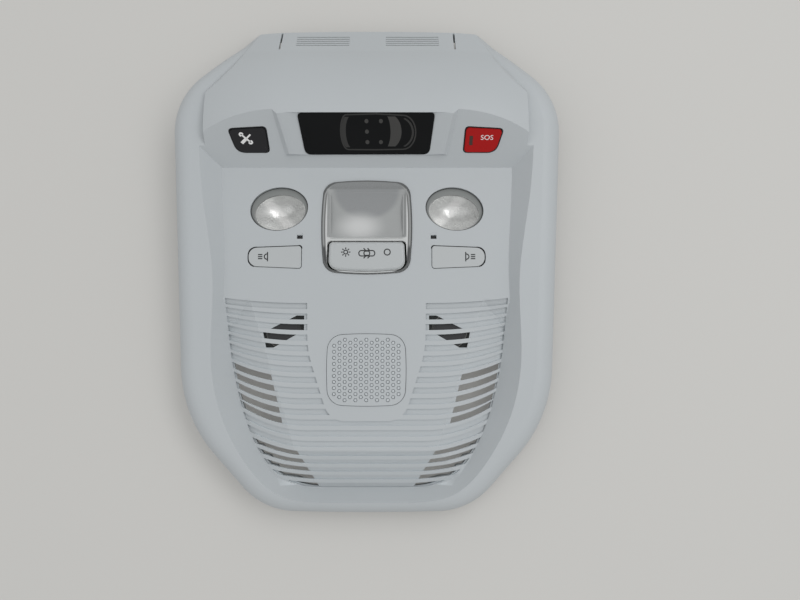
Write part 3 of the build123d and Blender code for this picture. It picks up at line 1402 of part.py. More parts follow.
with BuildPart() as lamp_carrier:
    add(level(module_face(0), SPLIT_Z, FLOOR_BACK_Z - SPLIT_Z))
    add(level(module_face(MODULE_WALL), SPLIT_Z, PLATE_TOP_Z - PLATE_T - SPLIT_Z), mode=Mode.SUBTRACT)
    add(level(module_face(MODULE_WALL), PLATE_TOP_Z, CREST_Z), mode=Mode.SUBTRACT)
    with BuildSketch(Plane.XY.offset(BOARD_TOP_Z)):
        with Locations(*screw_points()):
            Circle(SCREW_BOSS_R)
    extrude(amount=PLATE_TOP_Z - BOARD_TOP_Z)
    with BuildSketch(Plane.XY.offset(PLATE_TOP_Z)):
        with Locations((0, EAR_FRONT_Y + EAR_T / 2), (0, EAR_REAR_Y - EAR_T / 2)):
            Rectangle(EAR_W, EAR_T)
    extrude(amount=-EAR_H)
    with BuildSketch(Plane.XY.offset(PLATE_TOP_Z)):
        with Locations(*RODS):
            Rectangle(ROD_W + 2 * SLEEVE_T, ROD_H + 2 * SLEEVE_T)
    extrude(amount=-SLEEVE_H)
    with BuildSketch(Plane.XY.offset(SPLIT_Z)):
        for side in (-1, 1):
            add(lamp_face(side, 0, 2 * PLAY))
        with Locations((0, BAY_MID_Y)):
            Rectangle(BAY_W, BAY_H)
        with Locations((0, (EAR_FRONT_Y + EAR_REAR_Y) / 2)):
            Rectangle(2 * (SWITCH_HALF_X + SWITCH_GAP_X), EAR_FRONT_Y - EAR_REAR_Y)
        with Locations(*RODS):
            Rectangle(ROD_W + 2 * BUTTON_GAP, ROD_H + 2 * BUTTON_GAP)
        with Locations((-AMBIENT_X, GUIDE_Y), (AMBIENT_X, GUIDE_Y)):
            Rectangle(GUIDE_W + 2 * SEAT, GUIDE_H + 2 * SEAT)
        with Locations(*screw_points()):
            Circle(SCREW_R + SEAT)
    extrude(amount=CREST_Z, mode=Mode.SUBTRACT)
    with BuildSketch(Plane.XZ):
        with Locations((0, SWITCH_PIVOT_Z)):
            Circle(SWITCH_PIN_R + PLAY)
    extrude(amount=DOME_LENS_TOP_Y / 2, both=True, mode=Mode.SUBTRACT)
    with BuildSketch(Plane.XY.offset(SPLIT_Z)):
        with Locations((SOCKET_X, MODULE_LOW_Y)):
            Rectangle(SOCKET_W + 2 * SEAT, 4 * MODULE_WALL)
    extrude(amount=BOARD_TOP_Z - SPLIT_Z + SOCKET_H + SEAT, mode=Mode.SUBTRACT)
save(lamp_carrier, "lamp_carrier")

with BuildPart() as circuit_board:
    with BuildSketch(BOARD_PLANE):
        add(module_face(MODULE_WALL + PLAY))
        with Locations(*screw_points()):
            Circle(SCREW_R + SEAT, mode=Mode.SUBTRACT)
    extrude(amount=-BOARD_T)
save(circuit_board, "circuit_board")

with BuildPart() as lamp_leds:
    with BuildSketch(BOARD_PLANE):
        with Locations((-LAMP_X, LAMP_Y), (LAMP_X, LAMP_Y)):
            Rectangle(LED_W, LED_W)
        with Locations((-LED_PITCH, BAY_MID_Y), (0, BAY_MID_Y), (LED_PITCH, BAY_MID_Y)):
            Rectangle(LED_W, LED_W)
    extrude(amount=LED_T)
    with BuildSketch(BOARD_PLANE):
        with Locations((-AMBIENT_X, GUIDE_Y), (AMBIENT_X, GUIDE_Y)):
            Rectangle(GUIDE_LED_W, GUIDE_LED_H)
    extrude(amount=GUIDE_LED_T)
save(lamp_leds, "lamp_leds")

MOUTH = Plane(
    origin=(SOCKET_X, SOCKET_MOUTH_Y, BOARD_TOP_Z + SOCKET_H / 2), x_dir=(1, 0, 0), z_dir=(0, -1, 0)
)

with BuildPart() as connector:
    with BuildSketch(MOUTH):
        Rectangle(SOCKET_W, SOCKET_H)
    extrude(amount=-SOCKET_LENGTH)
    with BuildSketch(MOUTH):
        Rectangle(SOCKET_W - 2 * SOCKET_WALL, SOCKET_H - 2 * SOCKET_WALL)
    extrude(amount=-SOCKET_DEPTH, mode=Mode.SUBTRACT)
save(connector, "connector")

with BuildPart() as connector_contacts:
    with BuildSketch(MOUTH.offset(-SOCKET_DEPTH)):
        with GridLocations(CONTACT_PITCH, CONTACT_ROW_PITCH, CONTACTS, 2):
            Rectangle(CONTACT_W, CONTACT_W)
    extrude(amount=CONTACT_LENGTH)
save(connector_contacts, "connector_contacts")

with BuildPart() as back_cover:
    add(level(module_face(0), 0, SPLIT_Z))
    add(level(module_face(MODULE_WALL), COVER_T, SPLIT_Z), mode=Mode.SUBTRACT)
    with BuildSketch():
        with Locations(*screw_points()):
            Circle(SCREW_BOSS_R + PLAY)
    extrude(amount=BOARD_TOP_Z - BOARD_T)
    with BuildSketch():
        with Locations(*screw_points()):
            Circle(SCREW_R + SEAT)
    extrude(amount=SPLIT_Z, mode=Mode.SUBTRACT)
    with BuildSketch():
        with Locations(*screw_points()):
            Circle(SCREW_HEAD_R + SEAT)
    extrude(amount=SCREW_HEAD_SET + SCREW_HEAD_T, mode=Mode.SUBTRACT)
save(back_cover, "back_cover")

with BuildPart() as module_screws:
    with BuildSketch(Plane.XY.offset(SCREW_HEAD_SET)):
        with Locations(*screw_points()):
            Circle(SCREW_HEAD_R)
    extrude(amount=SCREW_HEAD_T)
    with BuildSketch(Plane.XY.offset(SCREW_HEAD_SET)):
        with Locations(*screw_points()):
            Circle(SCREW_R)
    extrude(amount=SCREW_TIP_Z - SCREW_HEAD_SET)
save(module_screws, "module_screws")

# Spring clips pushed over the towers
LEG_X = TOWER_T / 2 + CLIP_FIT + CLIP_T / 2
CLIP_LOW_Z = TOWER_TIP_Z - CLIP_FIT - CLIP_T / 2
LEG = [(LEG_X, CLIP_TOP_Z), (LEG_X, CLIP_TOP_Z - CLIP_GRIP), (CLIP_BARB, CLIP_TOP_Z / 2), (LEG_X, CLIP_LOW_Z)]

with BuildPart() as spring_clips:
    for x in (-CLIP_X, CLIP_X):
        for y in (CLIP_FRONT_Y, CLIP_REAR_Y):
            with BuildSketch(Plane.XZ.offset(-y)):
                with BuildLine():
                    Polyline(*[(x + u, z) for u, z in LEG], *[(x - u, z) for u, z in reversed(LEG)])
                trace(line_width=CLIP_T)
            extrude(amount=CLIP_W / 2, both=True)
save(spring_clips, "spring_clips")
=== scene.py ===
import math

import bpy
from mathutils import Matrix, Vector


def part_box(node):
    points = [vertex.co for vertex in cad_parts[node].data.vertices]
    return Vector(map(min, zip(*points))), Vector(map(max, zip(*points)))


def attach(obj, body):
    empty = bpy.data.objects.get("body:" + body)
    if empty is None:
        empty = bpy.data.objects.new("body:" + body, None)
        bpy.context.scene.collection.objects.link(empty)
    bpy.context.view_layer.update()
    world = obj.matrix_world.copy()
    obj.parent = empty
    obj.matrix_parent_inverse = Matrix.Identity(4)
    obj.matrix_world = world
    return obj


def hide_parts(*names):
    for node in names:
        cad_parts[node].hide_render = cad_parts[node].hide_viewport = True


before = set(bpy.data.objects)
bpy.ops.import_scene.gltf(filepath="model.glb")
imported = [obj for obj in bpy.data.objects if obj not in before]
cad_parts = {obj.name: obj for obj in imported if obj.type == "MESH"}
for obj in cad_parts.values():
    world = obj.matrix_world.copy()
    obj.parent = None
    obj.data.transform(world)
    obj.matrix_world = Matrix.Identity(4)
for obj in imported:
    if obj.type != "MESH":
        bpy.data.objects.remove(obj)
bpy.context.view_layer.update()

bl_info = {
    "name": "Overhead console looks",
    "version": (1, 0, 0),
    "blender": (4, 5, 0),
    "location": "3D View > Sidebar > Console",
    "description": "Finishes, printed signs and studio for a car's overhead console with a dome light",
    "category": "Object",
}

MM = 0.001
HANDS = ((-1, "left"), (1, "right"))
CORNER_STEPS = 6
SMOOTH_ANGLE = math.radians(35.0)

# Sloping face that carries the display and the call buttons: its foot and its slope
FACE_FOOT = Vector((0.0, 0.058, 0.026))
FACE_ANGLE = math.radians(43.0)

# Moulded plastic: scales of grain and mottling, height and strength of the grain
GRAIN = 1500.0
GRAIN_DEPTH = 0.00005
GRAIN_BUMP = 0.35
FINE_GRAIN = 2200.0
FINE_DEPTH = 0.00003
CLOUD = 22.0
MOTTLE = 0.02
BUTTON_POLISH = 0.08

# Painted shade in the fine grooves of the strip at the front of the shell
STRIP_MID = Vector((0.0, 0.137, 0.02125))
STRIP_TURN = math.atan2(14.5, 18.0)
STRIP_SINK = (-0.00020, -0.00035)
STRIP_START = (0.1282, 0.1287)
STRIP_ENDS = (0.0450, 0.0440)
STRIP_SHADE_TONE = 0.55

# Painted light on the walls of the louvre grooves, making them paler, inside the field that the louvres
# take up
GROOVE_FOOT = 0.0150
GROOVE_FRONT = (-0.0270, -0.0290)
GROOVE_REAR = -0.1288
GROOVE_TOP = -0.0170
GROOVE_HALF = 0.0850
GROOVE_TAPER = 2.8
GROOVE_SOFT = 0.0010
GROOVE_STEEP = (0.55, 0.85)
GROOVE_LIGHT_TONE = 1.7

# Ultrasonic sensors: painted shade, near black, on the shell's collars around them, and dark foam
# around them, its outline in millimetres
SENSOR_MID = Vector((0.0486, -0.0388, 0.0235))
SENSOR_DARK = 0.0104
COLLAR_SOFT = 0.0004
COLLAR_TOP = (0.0003, 0.0001)
COLLAR_SHADE = (0.020, 0.021, 0.021)
FOAM_BLACK = (0.030, 0.032, 0.031)
FOAM_EDGE = ((35.0, -28.0), (42.0, -28.0), (62.4, -38.6), (60.2, -50.0), (53.5, -50.0), (35.0, -39.2))
FOAM_T = 0.8
FOAM_GAP = 0.0001
PUNCH_SIDES = 40
PUNCH_DEPTH = 0.01

# Buttons
# Dome switch cap: painted light on its sides, below the level of its top
CAP_SUNK = (-0.0005, -0.0014)
CAP_SIDE_LIGHT = (0.90, 0.91, 0.91)
INDICATOR_TINT = (0.045, 0.016, 0.009)

# Dome lens: outline, frosted window, painted highlight over the lamp and painted shadow above it
LENS_HALF = Vector((0.0265, 0.02765))
LENS_MID = 0.02235
LENS_BOW = 0.0020
LENS_CORNER = 0.0080
LENS_FACE = 0.0268
WINDOW_HALF = 0.0234
WINDOW_MID = 0.0308
WINDOW_REACH = 0.0142
WINDOW_SOFT = 0.0005
FROST = 1900.0
FROST_SHARE = 0.12
PANE_HIGHLIGHT_MID = (-0.0045, 0.0228)
PANE_HIGHLIGHT_HALF = (0.0135, 0.0085)
PANE_HIGHLIGHT_FADE = (1.35, 0.15)
SHADOW_MID = 0.0450
SHADOW_HALF = (0.0190, 0.0165)
SHADOW_FADE = (1.12, 0.90)
PANE_GREY = (0.335, 0.347, 0.347)
PANE_SHADOW = (0.245, 0.256, 0.262)
PANE_HIGHLIGHT = (0.58, 0.59, 0.59)
PANE_FROST = (0.60, 0.61, 0.61)

# Rim of the dome lens: where its bands of painted light and shade lie and their tones
RIM_RISE = (0.0100, 0.0150)
RIM_LIT = (0.62, 0.64, 0.645)
RIM_SHADED = (0.225, 0.235, 0.238)
SIDE_START = 0.0205
SIDE_SOFT = 0.0020
SIDE_SHADE_GREY = (0.30, 0.31, 0.31)
SIDE_GROOVE = (0.0014, 0.0021)
SIDE_GROOVE_SHADE = (0.15, 0.155, 0.155)
SIDE_LINE = (0.0022, 0.0032)
SIDE_HIGHLIGHT = (0.62, 0.63, 0.63)
CORNER_IN = 0.0006
CORNER_SWELL = 0.0012
CORNER_START = 0.0140
CORNER_RUN = 0.0080
CORNER_SOFT = 0.0003
CORNER_LOW = (0.0125, 0.0095)
CORNER_SHADE = (0.050, 0.053, 0.055)
EDGE_FADE = (0.0008, 0.0003)
EDGE_SHADE = (0.10, 0.105, 0.105)
SILL_FOOT = 0.0135
SILL_SOFT = 0.0004
SILL_LIGHT = (0.56, 0.577, 0.573)
SWITCH_SEAT_SUNK = (-0.0002, -0.0006)
SWITCH_SEAT_TOP = (0.0148, 0.0144)
SWITCH_SEAT_LIGHT = (0.88, 0.89, 0.89)
BAND_SOFT = 0.0002

# Reading lamps: lens in its well, clear pane set low in it, painted shade that stands for the well's
# sloping wall
LAMP_MID = Vector((0.0518, 0.0333))
LAMP_TILT = math.radians(8.0)
LAMP_HALF = Vector((0.0172, 0.0129))
PANE_HALF = Vector((0.0149, 0.0104))
PANE_DROP = 0.0017
PANE_EDGE = (0.985, 1.02)
PANE_ALPHA = 0.04
PANE_TINTS = ((0.80, 0.81, 0.80), (0.90, 0.90, 0.89))
WELL_SLOPE = (1.05, 1.75)
WELL_SHADE_TONES = ((0.22, 0.232, 0.228), (0.115, 0.122, 0.119))
WELL_EDGE = (0.94, 0.985)
WELL_EDGE_SHADE = (0.055, 0.058, 0.057)
TRAY_WHITE = (0.72, 0.72, 0.70)
# Light guides: near black, painted shade in the holes they sit in
GUIDE_SHADE_TONES = ((0.010, 0.010, 0.011), (0.016, 0.016, 0.017))

# Plated bowls of the reading lamps, with a painted highlight along a streak and painted light on one
# side
BOWL_R = 0.0168
BOWL_OVAL = 0.75
BOWL_NECK = 0.0026
BOWL_COLLAR = 0.0016
BOWL_WALL = 0.0008
BOWL_RINGS = 8
BOWL_SIDES = 36
STREAK_RUN = 0.74
STREAK_RISE = 0.67
STREAK_MID = 0.0024
STREAK_HALF = 0.0044
STREAK_FADE = (1.0, 0.25)
STREAK_HIGHLIGHT = (1.0, 1.0, 0.99)
PLATE_TURN = (0.0004, 0.0022)
PLATE_LIT_AND_SHADED = ((0.78, 0.79, 0.78), (0.71, 0.72, 0.71))

# Holes of the microphone grille and the felt tufts in them
HOLE_R = 0.00120
HOLE_SINK = 0.0005
HOLE_REACH = 6
HOLE_ROWS = 11
HOLE_COLUMN = 0.00313
HOLE_ROW = 0.0035
TUFT_R = HOLE_R * 0.84
TUFT_BEVEL = HOLE_R * 0.25
TUFT_SIDES = 10
TUFT_GREY = (0.62, 0.65, 0.67)

# Painted gap shadows around the buttons, dark strips on the panel, in millimetres
GAP_SHADOW_BLACK = (0.020, 0.021, 0.022)
CALL_EDGE = ((57.1, 26.5), (79.0, 25.2), (75.4, 10.1), (56.5, 10.1))
CALL_RADII = (2.4, 2.4, 6.4, 2.4)
CALL_SHADOW_W = 0.75
CALL_SHADOW_T = 0.16
READ_EDGE = ((38.2, 11.5), (69.6, 10.3), (69.6, -0.9), (38.2, -2.2))
READ_RADII = (1.7, 5.2, 5.2, 1.7)
READ_SHADOW_W = 0.55
READ_SHADOW_WIDE = 0.85
READ_SHADOW_T = 0.12
READ_WIDE_STEPS = CORNER_STEPS + 4
PANEL_Z = 26.0

# Small ramps above the light guides, in millimetres
RAMP_HALF = 1.68
RAMP_RUN = 1.45
RAMP_T = 1.2
RAMP_SPOT = (39.4, 17.62, 25.3)
RAMP_FALL = math.radians(14.0)

# Display: cover plate and the plan of a car, in millimetres on the sloping face
DISPLAY_EDGE = ((-38.4, 35.3), (0.5, 36.2), (39.4, 35.6), (36.7, 9.5), (-35.5, 9.3))
DISPLAY_RADII = (2.4, 60.0, 2.6, 4.2, 4.2)
DISPLAY_COVER_T = 0.8
DISPLAY_TOP = 1.3
GLASS_TONES = ((0.0035, 0.004, 0.0045), (0.006, 0.0065, 0.007))
PLAN_DARK = (0.022, 0.022, 0.021)
PLAN_MID = (0.040, 0.039, 0.037)
PLAN_LINE = 0.8
PLAN_REAR = ((-10.6, 23.6), (3.7, 10.9), (100, 260), 14)
PLAN_NOSE = ((21.4, 23.4), (7.2, 10.6), (-90, 90), 14)
PLAN_LOW_SIDE = ((-10.0, 12.6), (6.0, 12.5))
PLAN_HIGH_SIDE = (6.0, 34.9)
REAR_SCREEN = (
    ((-10.6, 23.6), (3.3, 10.0), (108, 252), 10),
    ((-8.2, 23.6), (3.2, 10.0), (252, 108), 10),
)
WINDSCREEN = (
    ((12.9, 24.0), (7.6, 11.0), (-58, 58), 12),
    ((10.5, 24.0), (3.7, 11.0), (58, -58), 12),
)
HOOD_LINE = (
    ((19.0, 23.4), (8.6, 9.8), (-66, 66), 14),
    ((18.0, 23.4), (8.4, 9.4), (66, -66), 14),
)
SEATS = ((0.6, 30.5), (8.8, 30.5), (0.7, 24.0), (0.8, 17.4), (8.6, 17.4))
SEAT_RADII = (1.15, 1.35)
SEAT_TURN = (0, 330)
SEAT_STEPS = 11

# Signs on the dome switch, in millimetres
SIGN_GREY = (0.013, 0.015, 0.016)
RING_TURN = (0, 345)
RING_STEPS = 23
SUN_SPOT = (-12.3, 7.6)
SUN_R = 1.15
SUN_RAY = (1.75, 2.75)
SUN_RAYS = 8
DOORS_SPOT = (0.1, 6.9)
CAR_REACH = 3.4
CAR_END = (1.3, 1.6)
CAR_STEPS = 8
CABIN_REACH = 0.9
CABIN_END = (0.8, 1.25)
CABIN_STEPS = 7
DOOR_HINGES = (-0.6, 1.7)
DOOR_SWING = 1.3
DOOR_TIP = 3.0
CIRCLE_SPOT = (12.1, 7.6)
CIRCLE_R = 1.75

# Signs on the reading buttons, in millimetres
LAMP_SIGN_GREY = (0.016, 0.018, 0.019)
LAMP_SIGN_SPOT = (60.2, 4.9)
LAMP_BULB = ((1.9, 0.0), (1.8, 1.6), (90, 270), 12)
LAMP_CAP = ((2.0, 2.8), (2.0, -2.8))
BEAM_ENDS = (-1.0, -3.6)
BEAM_ROWS = (-1.2, 0.0, 1.2)

# Signs on the call buttons, in millimetres
SIGN_WHITE = (0.78, 0.78, 0.78)
CALL_TOP = 0.6
TOOLS_SPOT = (-69.0, 19.2)
TOOLS_SCALE = 1.2
SPANNER_SHAFT = ((-1.9, 1.9), (1.5, -1.5))
SPANNER_JAWS = (
    ((-2.2, 2.2), (0.75, 0.75), (0, 270), 9),
    ((1.9, -1.9), (0.75, 0.75), (180, 450), 9),
)
SPANNER_LINE = 0.85
DRIVER_HANDLE = ((-2.4, -2.4), (-0.2, -0.2))
DRIVER_HANDLE_LINE = 1.55
DRIVER_BLADE = ((-0.2, -0.2), (2.2, 2.2))
DRIVER_BLADE_LINE = 0.8
LETTERS_SPOT = (69.7, 19.8)

# Inner parts
BLACK = (0.018, 0.018, 0.02)
SWITCH_BLACK = (0.02, 0.02, 0.02)
WHITE = (0.70, 0.70, 0.68)
LED_RESIN = (0.78, 0.74, 0.60)
FELT_GREY = (0.50, 0.53, 0.55)
CAN_METAL = (0.62, 0.62, 0.63)
SCREW_METAL = (0.55, 0.56, 0.58)
CLIP_METAL = (0.30, 0.31, 0.33)
CONTACT_METAL = (0.70, 0.55, 0.24)
DRAWN_ALONG_Z = (1.0, 1.0, 30.0)
DRAWN_ALONG_Y = (1.0, 30.0, 1.0)
BOARD_GREENS = ((0.012, 0.085, 0.035), (0.022, 0.13, 0.055))
TRACK_SCALE = 260.0
TRACK_EDGE = (0.28, 0.34)

# Studio
FLOOR_SIZE = 6.0
FLOOR_CLOUD = 1.3
KEY_SPOT = (0.62, 0.30, 1.15)
KEY_SIZE = (1.4, 0.5)
FILL_SPOT = (-0.8, -0.2, 1.2)
FILL_SIZE = (1.2, 1.2)
FILL_SHARE = 0.3
CAMERA_SPOT = (0.0196, -0.05164, 0.46992)
CAMERA_TILT = math.radians(4.0)
CAMERA_SENSOR = 36.0
CAMERA_NEAR = 0.01


class Field:
    """A shader socket that can stand in Python expressions."""

    def __init__(self, paint, socket):
        self.paint = paint
        self.socket = socket

    def maths(self, operation, first, second=0.0):
        return self.paint.node("ShaderNodeMath", {"operation": operation}, {0: first, 1: second})

    def __add__(self, other):
        return self.maths("ADD", self, other)

    __radd__ = __add__

    def __sub__(self, other):
        return self.maths("SUBTRACT", self, other)

    def __rsub__(self, other):
        return self.maths("SUBTRACT", other, self)

    def __mul__(self, other):
        return self.maths("MULTIPLY", self, other)

    __rmul__ = __mul__

    def __truediv__(self, other):
        return self.maths("DIVIDE", self, other)

    def __rtruediv__(self, other):
        return self.maths("DIVIDE", other, self)

    def __abs__(self):
        return self.maths("ABSOLUTE", self)

    def most(self, other):
        return self.maths("MAXIMUM", self, other)

    def least(self, other):
        return self.maths("MINIMUM", self, other)

    def hypot(self, other):
        """Length of the vector that two values make."""
        return self.maths("SQRT", self * self + other * other)

    def ramp(self, low, high):
        """0 at low, 1 at high, smooth between."""
        settings = {"interpolation_type": "SMOOTHSTEP"}
        inputs = {"Value": self, "From Min": low, "From Max": high}
        return self.paint.node("ShaderNodeMapRange", settings, inputs)


class Paint:
    """A material whose nodes are made by one method."""

    def __init__(self, name, **constants):
        self.material = bpy.data.materials.new(name)
        self.material.use_nodes = True
        self.tree = self.material.node_tree
        self.tree.nodes.clear()
        self.shader = self.tree.nodes.new("ShaderNodeBsdfPrincipled")
        self.output = self.tree.nodes.new("ShaderNodeOutputMaterial")
        self.tree.links.new(self.shader.outputs[0], self.output.inputs[0])
        self.surface(**constants)

    def feed(self, node, key, value):
        socket = node.inputs[key]
        if isinstance(value, Field):
            self.tree.links.new(value.socket, socket)
        elif socket.type == "RGBA":
            socket.default_value = (*value, 1.0)
        else:
            socket.default_value = value

    def node(self, kind, settings=None, inputs=None, output=0):
        made = self.tree.nodes.new(kind)
        for key, value in (settings or {}).items():
            setattr(made, key, value)
        for key, value in (inputs or {}).items():
            self.feed(made, key, value)
        return Field(self, made.outputs[output])

    def place(self):
        return self.node("ShaderNodeTexCoord", output="Object")

    def parts(self, vector):
        """The three numbers of a vector."""
        outputs = self.node("ShaderNodeSeparateXYZ", None, {0: vector}).socket.node.outputs
        return [Field(self, socket) for socket in outputs]

    def axes(self):
        return self.parts(self.place())

    def noise(self, scale, detail=2.0, stretch=(1.0, 1.0, 1.0)):
        inputs = {"Vector": self.place(), "Scale": stretch}
        moved = self.node("ShaderNodeMapping", {"vector_type": "POINT"}, inputs)
        inputs = {"Vector": moved, "Scale": scale, "Detail": detail}
        return self.node("ShaderNodeTexNoise", None, inputs)

    def blend(self, factor, first, second):
        inputs = {0: factor, 6: first, 7: second}
        return self.node("ShaderNodeMix", {"data_type": "RGBA"}, inputs, output=2)

    def surface(self, **sockets):
        for socket, value in sockets.items():
            self.feed(self.shader, socket.replace("_", " "), value)
        return self.material

    def over(self, factor, second):
        """Lay a second shader over the first, as far as the factor says."""
        first = Field(self, self.shader.outputs[0])
        mixed = self.node("ShaderNodeMixShader", None, {0: factor, 1: first, 2: second})
        self.tree.links.new(mixed.socket, self.output.inputs[0])

    def bump(self, height, strength, distance):
        inputs = {"Strength": strength, "Distance": distance, "Height": height}
        return self.node("ShaderNodeBump", None, inputs)


def shade(colour, factor):
    """A colour made darker or lighter."""
    return tuple(min(1.0, c * factor) for c in colour)


def grained(paint, colour, roughness, grain=GRAIN, mottle=MOTTLE):
    """Eroded grain, with the mottled colour and the uneven roughness that go with it."""
    texture = paint.noise(grain, detail=3.0)
    cloud = paint.noise(CLOUD, detail=3.0)
    base = paint.blend(cloud, shade(colour, 1.0 - mottle), shade(colour, 1.0 + mottle))
    rough = roughness - 0.04 + 0.08 * texture + 0.05 * (cloud - 0.5)
    return texture, base, rough


def moulded(name, colour, roughness, grain=GRAIN, depth=GRAIN_DEPTH, mottle=MOTTLE, gloss=0.5):
    """Moulded plastic: eroded grain, faint mottling and uneven gloss."""
    paint = Paint(name, Specular_IOR_Level=gloss)
    texture, base, rough = grained(paint, colour, roughness, grain, mottle)
    normal = paint.bump(texture, GRAIN_BUMP, depth)
    return paint.surface(Base_Color=base, Roughness=rough, Normal=normal)


def brushed(name, colour, roughness, stretch=DRAWN_ALONG_Z):
    """Metal with fine drawn lines."""
    paint = Paint(name, Metallic=1.0)
    lines = paint.noise(scale=900.0, stretch=stretch)
    stain = paint.noise(scale=260.0, detail=3.0)
    base = paint.blend(stain, shade(colour, 0.86), shade(colour, 1.06))
    rough = roughness + 0.14 * lines - 0.05
    normal = paint.bump(lines, strength=0.25, distance=0.00003)
    return paint.surface(Base_Color=base, Roughness=rough, Normal=normal)


def ink(name, colour):
    """Printed ink: slightly uneven cover."""
    paint = Paint(name)
    cover = paint.noise(scale=2400.0)
    base = paint.blend(cover, shade(colour, 0.9), shade(colour, 1.08))
    return paint.surface(Base_Color=base, Roughness=0.5 + 0.1 * cover)


def finish(nodes, material):
    """Give CAD nodes a finish."""
    for name in nodes:
        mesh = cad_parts[name].data
        mesh.materials.clear()
        mesh.materials.append(material)


def deselect():
    if bpy.context.object and bpy.context.object.mode != "OBJECT":
        bpy.ops.object.mode_set(mode="OBJECT")
    bpy.ops.object.select_all(action="DESELECT")


def only(piece):
    deselect()
    piece.select_set(True)
    bpy.context.view_layer.objects.active = piece


def edit_all():
    """Go into edit mode with everything selected."""
    bpy.ops.object.mode_set(mode="EDIT")
    bpy.ops.mesh.select_all(action="SELECT")


def wire(points, closed):
    """A chain of edges through points, drawn from a plane merged to one vertex."""
    deselect()
    bpy.ops.mesh.primitive_plane_add(size=MM)
    edit_all()
    bpy.ops.mesh.merge(type="CENTER")
    chain = [Vector((x * MM, y * MM, 0.0)) for x, y in points]
    if closed:
        chain.append(chain[0])
    bpy.ops.transform.translate(value=chain[0])
    for here, there in zip(chain, chain[1:]):
        bpy.ops.mesh.extrude_vertices_move(TRANSFORM_OT_translate={"value": there - here})
    if closed:
        bpy.ops.mesh.select_all(action="SELECT")
        bpy.ops.mesh.remove_doubles(threshold=MM * 0.001)
    bpy.ops.object.mode_set(mode="OBJECT")
    return bpy.context.object


def arc(middle, radii, turn, count):
    """Points along an oval arc, its turn in degrees."""
    start, end = turn
    angles = [math.radians(start + (end - start) * k / count) for k in range(count + 1)]
    return [(middle[0] + radii[0] * math.cos(t), middle[1] + radii[1] * math.sin(t)) for t in angles]


def ring(radius):
    """Points around a circle at the middle of a sign."""
    return arc((0.0, 0.0), (radius, radius), RING_TURN, RING_STEPS)


def long_oval(reach, end, count):
    """Points around two half ovals, joined by straight sides."""
    return arc((-reach, 0.0), end, (90, 270), count) + arc((reach, 0.0), end, (-90, 90), count)


def rounded(corners, radii):
    """Points around a polygon with rounded corners, the same number at each corner."""
    around = []
    for k, radius in enumerate(radii):
        here = Vector(corners[k])
        back = (Vector(corners[k - 1]) - here).normalized()
        onward = (Vector(corners[(k + 1) % len(corners)]) - here).normalized()
        reach = radius / math.tan(back.angle(onward) / 2)
        for step in range(CORNER_STEPS + 1):
            t = step / CORNER_STEPS
            bend = here + back * reach * (1.0 - t) ** 2 + onward * reach * t**2
            around.append((bend.x, bend.y))
    return around


def on_side(side, points):
    """Points of the right hand, or mirrored to the left."""
    return [(side * x, y) for x, y in points]


def join(pieces):
    deselect()
    for piece in pieces:
        piece.select_set(True)
    bpy.context.view_layer.objects.active = pieces[0]
    if len(pieces) > 1:
        bpy.ops.object.join()
    return bpy.context.object


def stroke(lines, width, height):
    """Drawn lines: chains of edges given a flattened round section."""
    join([wire(points, closed) for points, closed in lines])
    bpy.ops.object.convert(target="CURVE")
    drawn = bpy.context.object
    drawn.data.bevel_depth = width * MM / 2
    drawn.data.bevel_resolution = 1
    drawn.data.use_fill_caps = True
    bpy.ops.object.convert(target="MESH")
    drawn = bpy.context.object
    edit_all()
    bpy.ops.transform.resize(value=(1.0, 1.0, height / width))
    bpy.ops.mesh.normals_make_consistent(inside=False)
    bpy.ops.object.mode_set(mode="OBJECT")
    return drawn


def patch(points, height):
    """A filled shape of even thickness, half above and half below its plane."""
    shape = wire(points, True)
    edit_all()
    bpy.ops.mesh.edge_face_add()
    bpy.ops.mesh.extrude_region_move(TRANSFORM_OT_translate={"value": (0.0, 0.0, height * MM)})
    bpy.ops.mesh.select_all(action="SELECT")
    bpy.ops.mesh.normals_make_consistent(inside=False)
    bpy.ops.transform.translate(value=(0.0, 0.0, -height * MM / 2))
    bpy.ops.object.mode_set(mode="OBJECT")
    return shape


def lettering(words, size, height):
    """Plain lettering as a thin solid."""
    deselect()
    bpy.ops.object.text_add()
    text = bpy.context.object
    text.data.body = words
    text.data.align_x = "CENTER"
    text.data.align_y = "CENTER"
    text.data.size = size * MM
    text.data.extrude = height * MM / 2
    text.data.resolution_u = 4
    bpy.ops.object.convert(target="MESH")
    return bpy.context.object


def panel_place(x, y, z):
    """Level place on the lamp panel, in millimetres."""
    return Matrix.Translation((x * MM, y * MM, z * MM))


def face_place(x, v, w):
    """Place on the sloping face: across, up the slope and out of it, in millimetres."""
    turn = Matrix.Rotation(FACE_ANGLE, 4, "X")
    return Matrix.Translation(FACE_FOOT) @ turn @ Matrix.Translation((x * MM, v * MM, w * MM))


def settle(piece, name, place, body, material):
    """Put a modelled piece in its place, finish it and let it ride on its body."""
    only(piece)
    piece.name = name
    piece.matrix_world = place
    bpy.ops.object.transform_apply(location=True, rotation=True, scale=True)
    bpy.ops.object.shade_smooth_by_angle(angle=SMOOTH_ANGLE)
    piece.data.materials.clear()
    piece.data.materials.append(material)
    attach(piece, body)


